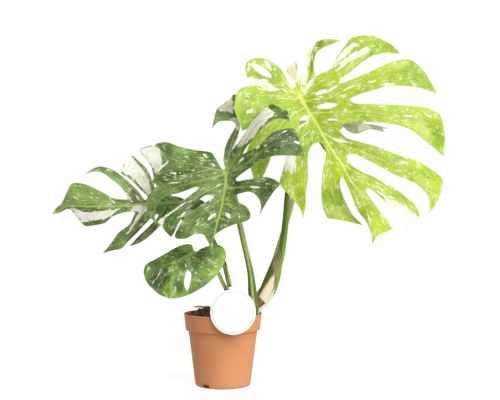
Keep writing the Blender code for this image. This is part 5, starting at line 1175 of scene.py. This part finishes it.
def petiole_rows(key, leaf, place):
    """A petiole's path, ended by the knee that meets the back of its blade at the midrib's root."""
    root = np.array([leaf["midrib"][0][:2]])
    lines = [np.array(line)[:, :2] for line in [leaf["midrib"]] + leaf["veins"]]
    spots = np.vstack([root, root + (ROOT_PROBE, 0), root + (0, ROOT_PROBE)])
    a, b, c = place(spots, plate_of(leaf)(spots) + quilted(off_lines(spots, lines), leaf))
    normal = unit(np.cross(b - a, c - a))
    back = -normal if normal.dot(leaf["face"]) > 0 else normal
    radius, bend = KNEES[key]
    end = a + back * (SEAT_BLADE_HALF + MIDRIB_DEPTH + GAP)
    return PETIOLES[key] + [(*(end + back * bend), radius, radius), (*end, *[radius * KNEE_TAPER] * 2)]


def ring_faces(count, sides):
    """Faces of a tube of that many rings, with both ends closed."""
    faces = []
    for row in range(count - 1):
        low, high = row * sides, (row + 1) * sides
        for k in range(sides):
            after = (k + 1) % sides
            faces.append((low + k, low + after, high + after, high + k))
    return faces + [tuple(reversed(range(sides))), tuple(range((count - 1) * sides, count * sides))]


def plain_marks(place, height, right, facing_front):
    """How cream, dried and striped a stalk with a small sheath is, round its ring at one height, and its
    painted shade; the stripe is partly painted highlight.

    The numbers are places across the stalk, from -1 at the left to 1 at the right, and heights.
    """
    foot = 1 - smooth(height, 24, 30)
    # A pale stripe, partly painted highlight
    stripe_and_highlight = (0.35 + 0.6 * foot) * bell(right, place - 0.3, 0.17 - 0.07 * foot) * facing_front
    # Painted shade on both sides of the stalk, broader on its foot
    sides = foot * np.maximum(0.8 * smooth(right, 0.12, 0.35), 0.7 * smooth(-right, 0.25, 0.7))
    shade = np.maximum(0.8 * smooth(-right, 0.45, 0.9), 0.5 * smooth(right, 0.75, 1))
    return right * 0, right * 0, stripe_and_highlight, np.maximum(shade, sides)


def sheath_marks(height, right, facing_front):
    """The same for the largest stalk, with its cream foot and its dried band; painted shade darkens its left
    side and painted light brightens its right.
    """
    left, edge = (np.interp(height, CREAM_FOOT[0], row) for row in CREAM_FOOT[1:])
    sheath = smooth(right - left, -0.1, 0.5) * smooth(edge - right, -0.1, 0.12) * facing_front
    middle, width, strength = (np.interp(height, DRY_BAND[0], row) for row in DRY_BAND[1:])
    dry = strength * bell(right, middle, width) * facing_front
    above = smooth(height, 26, 30)
    # Painted light on the right of the stalk; painted shade on its left, with a darker line
    stripe_and_highlight = 0.9 * smooth(right, 0.3 - 0.35 * above, 0.6 - 0.35 * above) * smooth(height, 19, 21)
    line = 0.4 * above * bell(right, -0.1, 0.12)
    shade = (0.85 - 0.25 * above) * smooth(-right, 0.55 * above - 0.1, 0.55 * above + 0.35)
    return sheath, dry, stripe_and_highlight * (1 - line), np.maximum(shade, line)


def make_petiole(key, rows):
    """A stalk with a channel along the front of its clasping foot."""
    low, high, channel, place = SHEATHS[key]
    angles = circle(PETIOLE_SIDES)
    front, right = -np.sin(angles), np.cos(angles)
    facing_front = smooth(front, -0.5, -0.05)
    points, marks, along = [], [], []
    for centre, side, forward, radius in zip(*frames(rows, PETIOLE_STEP)):
        height = centre[2]
        foot = smooth(height, low - SHEATH_ENDS[0], low) * (1 - smooth(height, high - SHEATH_ENDS[1], high))
        groove = channel * foot * bell(right, place, CHANNEL_WIDTH) * (front > 0)
        points.append(centre + ring(side, forward, radius, angles) * (1 - groove / max(radius))[:, None])
        if key == "a":
            marks.append(np.stack(sheath_marks(height, right, facing_front)))
        else:
            marks.append(np.stack(plain_marks(place, height, right, facing_front)))
        along.append(np.stack([right * radius[0], front * radius[1], np.full(len(angles), height)], axis=1))
    numbers = dict(zip(("sheath", "dry", "stripe_and_highlight", "shade"), np.hstack(marks)))
    node = f"petiole_{key}"
    return piece(f"{node}_stalk", np.vstack(points), ring_faces(len(points), PETIOLE_SIDES),
                 petiole_paint(*STALK_SKINS[key]), node, numbers, {"along": np.vstack(along)})


def make_stem():
    """The rhizome, with low rings where old leaves were."""
    angles = circle(STEM_SIDES)
    points, along = [], []
    for row, (centre, side, forward, radius) in enumerate(zip(*frames(STEM_PATH, STEM_STEP))):
        narrow = 1 - STEM_RINGS[0] * abs(math.sin(row * STEM_RINGS[1]))
        points.append(centre + narrow * ring(side, forward, radius, angles))
        along.append(np.stack([angles, np.full(len(angles), row * STEM_STEP), angles * 0], axis=1))
    return piece("stem_rhizome", np.vstack(points), ring_faces(len(points), STEM_SIDES), stem_paint(), "stem",
                 None, {"along": np.vstack(along)})


def turned(profile, segments):
    """Points and faces of a solid of revolution about Z, whose profile starts and ends on the axis."""
    angles = circle(segments)
    disc = np.stack([np.cos(angles), np.sin(angles), angles * 0], axis=1)
    points = [np.array([(0, 0, profile[0][1])])]
    points += [radius * disc + (0, 0, height) for radius, height in profile[1:-1]]
    points.append(np.array([(0, 0, profile[-1][1])]))
    last = 1 + (len(profile) - 2) * segments
    top = last - segments
    faces = []
    for k in range(segments):
        after = (k + 1) % segments
        faces += [(0, 1 + after, 1 + k), (top + k, top + after, last)]
        for low in range(1, top, segments):
            high = low + segments
            faces.append((low + k, low + after, high + after, high + k))
    return np.vstack(points), faces


def rounded(profile):
    """A profile with each corner cut into a short arc."""
    rows = [np.array(profile[0], float)]
    for points in zip(profile[:-2], profile[1:-1], profile[2:]):
        before, corner, after = np.array(points, float)
        back, on = before - corner, after - corner
        most, share = POT_ROUNDING
        cut = min(most, np.linalg.norm(back) * share, np.linalg.norm(on) * share)
        start, end = corner + unit(back) * cut, corner + unit(on) * cut
        rows += [start, 0.25 * start + 0.5 * corner + 0.25 * end, end]
    return rows + [np.array(profile[-1], float)]


def stepped(profile):
    """A profile with its long straight runs cut into short ones."""
    rows = [profile[0]]
    for a, b in zip(profile[:-1], profile[1:]):
        count = max(1, round(abs(b[1] - a[1]) / POT_STEP))
        rows += [a + (b - a) * k / count for k in range(1, count + 1)]
    return rows


def cut_slot(pot, degrees):
    """One drain slot through the foot of the wall."""
    angle = math.radians(degrees)
    spot = Vector((math.cos(angle) * DRAIN_SLOT_REACH, math.sin(angle) * DRAIN_SLOT_REACH, DRAIN_SLOT_HEIGHT))
    bpy.ops.mesh.primitive_cube_add(size=1, location=spot * CM, rotation=(0, 0, angle + math.pi / 2))
    cutter = bpy.context.object
    cutter.scale = [size * CM for size in DRAIN_SLOT_SIZE]
    cut = pot.modifiers.new("slot", "BOOLEAN")
    cut.operation = "DIFFERENCE"
    cut.solver = "EXACT"
    cut.object = cutter
    bpy.context.view_layer.objects.active = pot
    bpy.ops.object.modifier_apply(modifier=cut.name)
    bpy.data.objects.remove(cutter, do_unlink=True)


def make_pot():
    """The nursery pot, its rim soiled inside, with its drain slots."""
    profile = stepped(rounded([(0, 0)] + POT_OUTSIDE + POT_INSIDE + [(0, POT_FLOOR)]))
    points, faces = turned(profile, POT_SEGMENTS)
    inner = np.hypot(points[:, 0], points[:, 1]) < POT_SOILED_RADIUS
    soiled = smooth(points[:, 2], *POT_SOILED_HEIGHTS) * inner * POT_SOILED
    pot = piece("pot_shell", points, faces, pot_paint(), "pot", {"soiled": soiled})
    pot.data.set_sharp_from_angle(angle=POT_CREASE)
    for degrees in DRAIN_SLOT_ANGLES:
        cut_slot(pot, degrees)


def soil_height(x, y):
    """The lumpy mound of the soil, highest near the plant, with a hump at the back left."""
    share = min(1.0, math.hypot(x, y) / SOIL_RADIUS)
    lumps, crumbs = (wavy(x * scale, y * scale, place) for scale, place in (SOIL_LUMPS, SOIL_CRUMBS))
    fade = 1.0 if share < SOIL_CALM[0] else SOIL_CALM[1]
    rough = SOIL_ROUGHNESS * fade * (lumps + SOIL_CRUMB_SHARE * crumbs)
    hump_x, hump_y, hump_height, hump_width = SOIL_HUMP
    hump = hump_height * math.exp(-((x - hump_x)**2 + (y - hump_y)**2) / hump_width**2)
    return SOIL_EDGE + SOIL_MOUND * (1 - share**2) + rough + hump * (1 - share**6)


def chip_points(rng):
    """One bark chip: a flat, uneven block, tipped at random and half sunk in the soil."""
    turn, reach = rng.uniform(0, 2 * math.pi), SOIL_RADIUS * math.sqrt(rng.uniform(0, CHIP_REACH))
    x, y = reach * math.cos(turn), reach * math.sin(turn)
    length = rng.uniform(*CHIP_LENGTHS) * rng.uniform(*CHIP_SHORTENING)
    size = np.array((length, length * rng.uniform(*CHIP_WIDTHS), length * rng.uniform(*CHIP_DEPTHS))) / 2
    block = np.array([(i, j, k) for k in (-1, 1) for j in (-1, 0, 1) for i in (-1, 0, 1)], float)
    swell = 1 + CHIP_SWELL[0] * (block[:, 0] == 0) + CHIP_SWELL[1] * (block[:, 1] == 0)
    block = block * size * swell[:, None] + rng.uniform(-CHIP_UNEVEN, CHIP_UNEVEN, block.shape) * size
    tilt = Matrix.Rotation(rng.uniform(0, 2 * math.pi), 3, "Z")
    for lean, axis in zip(CHIP_TILTS, "XY"):
        tilt = tilt @ Matrix.Rotation(rng.normal(0, lean), 3, axis)
    return block @ np.array(tilt).T + (x, y, soil_height(x, y) + size[2] * rng.uniform(0, CHIP_RISE))


def joined(bodies):
    """The points and faces of several bodies in one list each."""
    faces, start = [], 0
    for points, loops in bodies:
        faces += [tuple(start + i for i in loop) for loop in loops]
        start += len(points)
    return np.vstack([points for points, _ in bodies]), faces


def soil_mound():
    """The soil's body: it lines the pot and ends in a lumpy, grainy top."""
    base = POT_FLOOR + GAP
    wall = [(radius - GAP, height) for radius, height in reversed(POT_INSIDE[1:-1])]
    foot = (wall[0][0] - SOIL_FOOT_INSET, base)
    shoulder = (POT_INSIDE[0][0] - GAP - SOIL_TOP_INSET[0], SOIL_EDGE - SOIL_TOP_INSET[1])
    radii = np.linspace(SOIL_RADIUS, SOIL_SMALLEST_RING, SOIL_RING_COUNT)
    mound = [(radius, SOIL_EDGE) for radius in radii]
    profile = [(0, base), foot] + wall + [shoulder] + mound + [(0, SOIL_EDGE)]
    points, faces = turned(profile, SOIL_SEGMENTS)
    for point in points:
        if point[2] > SOIL_EDGE - SLACK:
            x, y = point[:2]
            spot = Vector((x * SOIL_GRAIN_SCALE, y * SOIL_GRAIN_SCALE, SEED))
            point[2] = soil_height(x, y) + SOIL_GRAIN * noise.fractal(spot, *SOIL_GRAIN_FRACTAL)
    return points, faces


def make_soil():
    """Crumbly soil with bark chips."""
    rng = np.random.default_rng(SEED)
    bodies = [soil_mound()]
    shades = [np.zeros(len(bodies[0][0]))]
    for _ in range(CHIP_COUNT):
        points = chip_points(rng)
        bodies.append((points, shell_faces(3, 3)))
        shades.append(np.full(len(points), CHIP_SHADES[0] + CHIP_SHADES[1] * rng.uniform() ** 2))
    points, faces = joined(bodies)
    soil = piece("soil_bed", points, faces, soil_paint(), "soil", {"chip": np.concatenate(shades)})
    soil.data.set_sharp_from_angle(angle=SOIL_CREASE)


def shell_faces(rows, columns):
    """Faces of a thin shell whose inner and outer sheets have the same grid, with its rim closed."""
    size = rows * columns
    faces = []
    for row in range(rows - 1):
        for k in range(columns - 1):
            a, b = row * columns + k, (row + 1) * columns + k
            faces += [(a, b, b + 1, a + 1), (size + a, size + a + 1, size + b + 1, size + b)]
        a, b = row * columns, (row + 1) * columns
        faces.append((b, a, size + a, size + b))
        a, b = a + columns - 1, b + columns - 1
        faces.append((a, b, size + b, size + a))
    for a in range(columns - 1):
        b = (rows - 1) * columns + a
        faces += [(a, a + 1, size + a + 1, size + a), (b + 1, b, size + b, size + b + 1)]
    return faces


def husk_span(share, first, last, wedge, wave):
    """Middle angle and half angle of a dried sheath at a share of its height."""
    half = (last - first) / 2
    waved = 1 + HUSK_EDGE_WAVE * wave
    if not wedge:
        return (first + last) / 2, half * (1 - HUSK_NARROWING * share**2) * waved
    off_point = abs(share - wedge) / (wedge if share < wedge else 1 - wedge)
    half *= (1 - HUSK_NARROWING * off_point) * waved
    return first - WEDGE_LEAN * share + half, half


def make_husk(name, rows, start, end, first, last, wedge, *colours):
    """A dried sheath that hugs one side of a petiole and runs out to a point, with a wavy edge."""
    parts = frames(rows, SEAT_STEP)
    levels = np.arange(start, end + SLACK, HUSK_STEP)
    across = spread(HUSK_COLUMNS)
    edge_scale, *scales = HUSK_NOISE
    inner, outer, along, scorch = [], [], [], []
    for level in levels:
        centre, side, forward, radius, _ = at_height(parts, level)
        share = (level - levels[0]) / (levels[-1] - levels[0])
        middle, half = husk_span(share, first, last, wedge, wavy(level * edge_scale, first, SEED))
        steps = ring(side, forward, radius + HUSK_GAP, np.radians(middle + half * across))
        waves = [wavy(level * scales[0], u * scales[1], SEED) for u in across]
        lift = HUSK_WAVE * (1 + np.array(waves)) * abs(across)
        thick = HUSK_THICKNESS * (1 + share) * (1 - HUSK_THIN_EDGE * across**2)
        inner.append(centre + steps + unit(steps) * lift[:, None])
        outer.append(centre + steps + unit(steps) * (lift + thick)[:, None])
        along.append([(u * (last - first) / HUSK_FIBRE_DEGREES, level, 0) for u in across])
        burnt_tip = 0 if wedge else smooth(share, *HUSK_BURNT[0])
        scorch.append(np.maximum(burnt_tip, smooth(across, *HUSK_BURNT[1])))
    return piece(f"{name}_skin", np.vstack(inner + outer), shell_faces(len(levels), HUSK_COLUMNS),
                 husk_paint(f"{name}_paper", *colours), name,
                 {"scorch": np.tile(np.concatenate(scorch), 2)}, {"along": np.vstack(along * 2)})


def tag_card(lean, middle):
    """The round card as it hangs against the rim, and how far each of its points is from its middle."""
    half = TAG_THICKNESS / 2
    sheet = [(0, half)] + [(TAG_RADIUS * share, half) for share in TAG_RINGS]
    sheet.append((TAG_RADIUS, half * TAG_EDGE))
    profile = [(radius, -height) for radius, height in sheet] + sheet[::-1]
    disc, faces = turned(profile, TAG_SEGMENTS)
    card = np.stack([disc[:, 0], -disc[:, 2], disc[:, 1]], axis=1) @ lean.T + middle
    return card, faces, np.hypot(disc[:, 0], disc[:, 1])


def tag_loop(centre, side, forward, radius, axis):
    """The flat band round the petiole."""
    loop = []
    for height in (-LOOP_HEIGHT / 2, LOOP_HEIGHT / 2):
        for more in (LOOP_GAP, LOOP_GAP + STRAP_THICKNESS):
            loop.append(centre + ring(side, forward, radius + more, circle(LOOP_SIDES)) + axis * height)
    faces = []
    for k in range(LOOP_SIDES):
        after = (k + 1) % LOOP_SIDES
        for a, b in ((0, 2), (3, 1), (1, 0), (2, 3)):
            one, two = a * LOOP_SIDES, b * LOOP_SIDES
            faces.append((one + k, two + k, two + after, one + after))
    return np.vstack(loop), faces


def tag_strap(low, high):
    """The strap from the card up to the loop, sagging a little."""
    towards = unit(high - low)
    sideways = unit(np.array((1.0, 0, 0)) - towards * towards[0])
    upwards = np.cross(sideways, towards)
    strip = []
    for t in np.arange(STRAP_STEPS + 1) / STRAP_STEPS:
        row = low + (high - low) * t + 4 * STRAP_SAG * t * (1 - t) * UPWARDS
        for s, u in ((-1, -1), (1, -1), (1, 1), (-1, 1)):
            strip.append(row + sideways * s * STRAP_WIDTH / 2 + upwards * u * STRAP_THICKNESS / 2)
    return np.array(strip), ring_faces(STRAP_STEPS + 1, 4)


def make_tag(petiole):
    """The blank round card, its strap and the loop round a petiole, in one piece."""
    x, height = TAG_CENTRE
    front = -POT_RIM_RADIUS - GAP - TAG_THICKNESS / math.cos(TAG_LEAN) / 2
    middle = np.array((x, front + (height - POT_HEIGHT) * math.tan(TAG_LEAN), height))
    lean = np.array(Matrix.Rotation(-TAG_LEAN, 3, "X"))
    card, faces, reach = tag_card(lean, middle)
    centre, side, forward, radius, axis = at_height(frames(petiole, SEAT_STEP), LOOP_PLACE)
    low = middle + lean @ np.array((0, 0, TAG_RADIUS - STRAP_INSET))
    high = centre - forward * (radius[1] + LOOP_GAP + STRAP_THICKNESS / 2)
    loop = tag_loop(centre, side, forward, radius, axis)
    points, faces = joined([(card, faces), loop, tag_strap(low, high)])
    reach = np.concatenate([reach, np.zeros(len(points) - len(card))])
    tag = piece("tag_card", points, faces, tag_paint(), "tag", {"reach": reach})
    tag.data.set_sharp_from_angle(angle=TAG_CREASE)


def make_scrap():
    """A curled scrap of dry leaf on the soil, as high as its solid."""
    curve = spline(SCRAP_PATH, SCRAP_STEP)
    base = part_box("dry_scrap")[0].z / CM
    lower, along = [], []
    for (x, y, half, bow), (tx, ty) in zip(curve, unit(np.gradient(curve[:, :2], axis=0))):
        for side in spread(SCRAP_COLUMNS):
            wave = SCRAP_WAVE * (1 + wavy(x * SCRAP_NOISE[0], side * SCRAP_NOISE[1], SEED))
            rise = bow + SCRAP_CURL * side**2 * half + wave
            lower.append((x - ty * side * half, y + tx * side * half, base + rise))
            along.append((side * half, x, 0))
    points = np.vstack([lower, np.array(lower) + (0, 0, SCRAP_THICKNESS)])
    faces = [face[::-1] for face in shell_faces(len(curve), SCRAP_COLUMNS)]
    paint = husk_paint("dry_scrap_leaf", *SCRAP_COLOURS)
    return piece("dry_scrap_leaf", points, faces, paint, "dry_scrap", None,
                 {"along": np.array(along * 2)})


def make_plant():
    """Blades, petioles, rhizome, dried sheaths, tag and scrap."""
    leaves = {"a": LEAF_A, "b": LEAF_B, "c": LEAF_C, "d": LEAF_D, "e": mirrored_leaf()}
    paths = {}
    for key, leaf in leaves.items():
        hidden = key == "e"
        leaf["face"] = UPWARDS if hidden else TOWARDS_EYE
        leaf["up"] = 1 if hidden else -1
        place = own_plane if hidden else seen_from_eye
        make_blade(key, leaf, place)
        paths[key] = petiole_rows(key, leaf, place)
        make_petiole(key, paths[key])
    make_stem()
    for name, (key, *shape) in HUSKS.items():
        make_husk(name, paths[key], *shape)
    make_tag(paths["c"])
    make_scrap()


def make_room():
    """White floor and dome around the plant."""
    bpy.ops.mesh.primitive_circle_add(vertices=96, radius=FLOOR_RADIUS_M, fill_type="NGON")
    floor = bpy.context.object
    floor.name = "floor"
    floor.data.materials.append(white_paint("floor_white", FLOOR_SHADE, FLOOR_GLOW))
    bpy.ops.mesh.primitive_uv_sphere_add(segments=48, ring_count=24, radius=DOME_RADIUS_M)
    dome = bpy.context.object
    dome.name = "backdrop"
    dome.data.materials.append(white_paint("backdrop_white", 0.0, 1.0))
    dome.visible_diffuse = dome.visible_glossy = dome.visible_shadow = floor.visible_diffuse = False


def make_light(scene):
    """A white sky and one soft sun from the front right."""
    world = bpy.data.worlds.new("sky")
    scene.world = world
    world.use_nodes = True
    sky = world.node_tree.nodes["Background"]
    sky.inputs["Color"].default_value = (1, 1, 1, 1)
    sky.inputs["Strength"].default_value = SKY_STRENGTH
    sun = bpy.data.lights.new("sun", "SUN")
    sun.energy = SUN_STRENGTH
    sun.angle = SUN_ANGLE
    lamp = bpy.data.objects.new("sun", sun)
    lamp.rotation_euler = SUN_FROM.to_track_quat("Z", "Y").to_euler()
    scene.collection.objects.link(lamp)


def make_camera(scene):
    """The camera of the photograph, level with the middle of the plant."""
    lens = bpy.data.cameras.new("camera")
    lens.lens = LENS_MM
    lens.sensor_width = SENSOR_MM
    camera = bpy.data.objects.new("camera", lens)
    camera.location = Vector(EYE) * CM
    camera.rotation_euler = (math.pi / 2, 0, 0)
    scene.collection.objects.link(camera)
    scene.camera = camera


def make_studio():
    scene = bpy.context.scene
    scene.view_settings.view_transform = "Standard"
    make_room()
    make_light(scene)
    make_camera(scene)


make_studio()
make_pot()
make_soil()
make_plant()
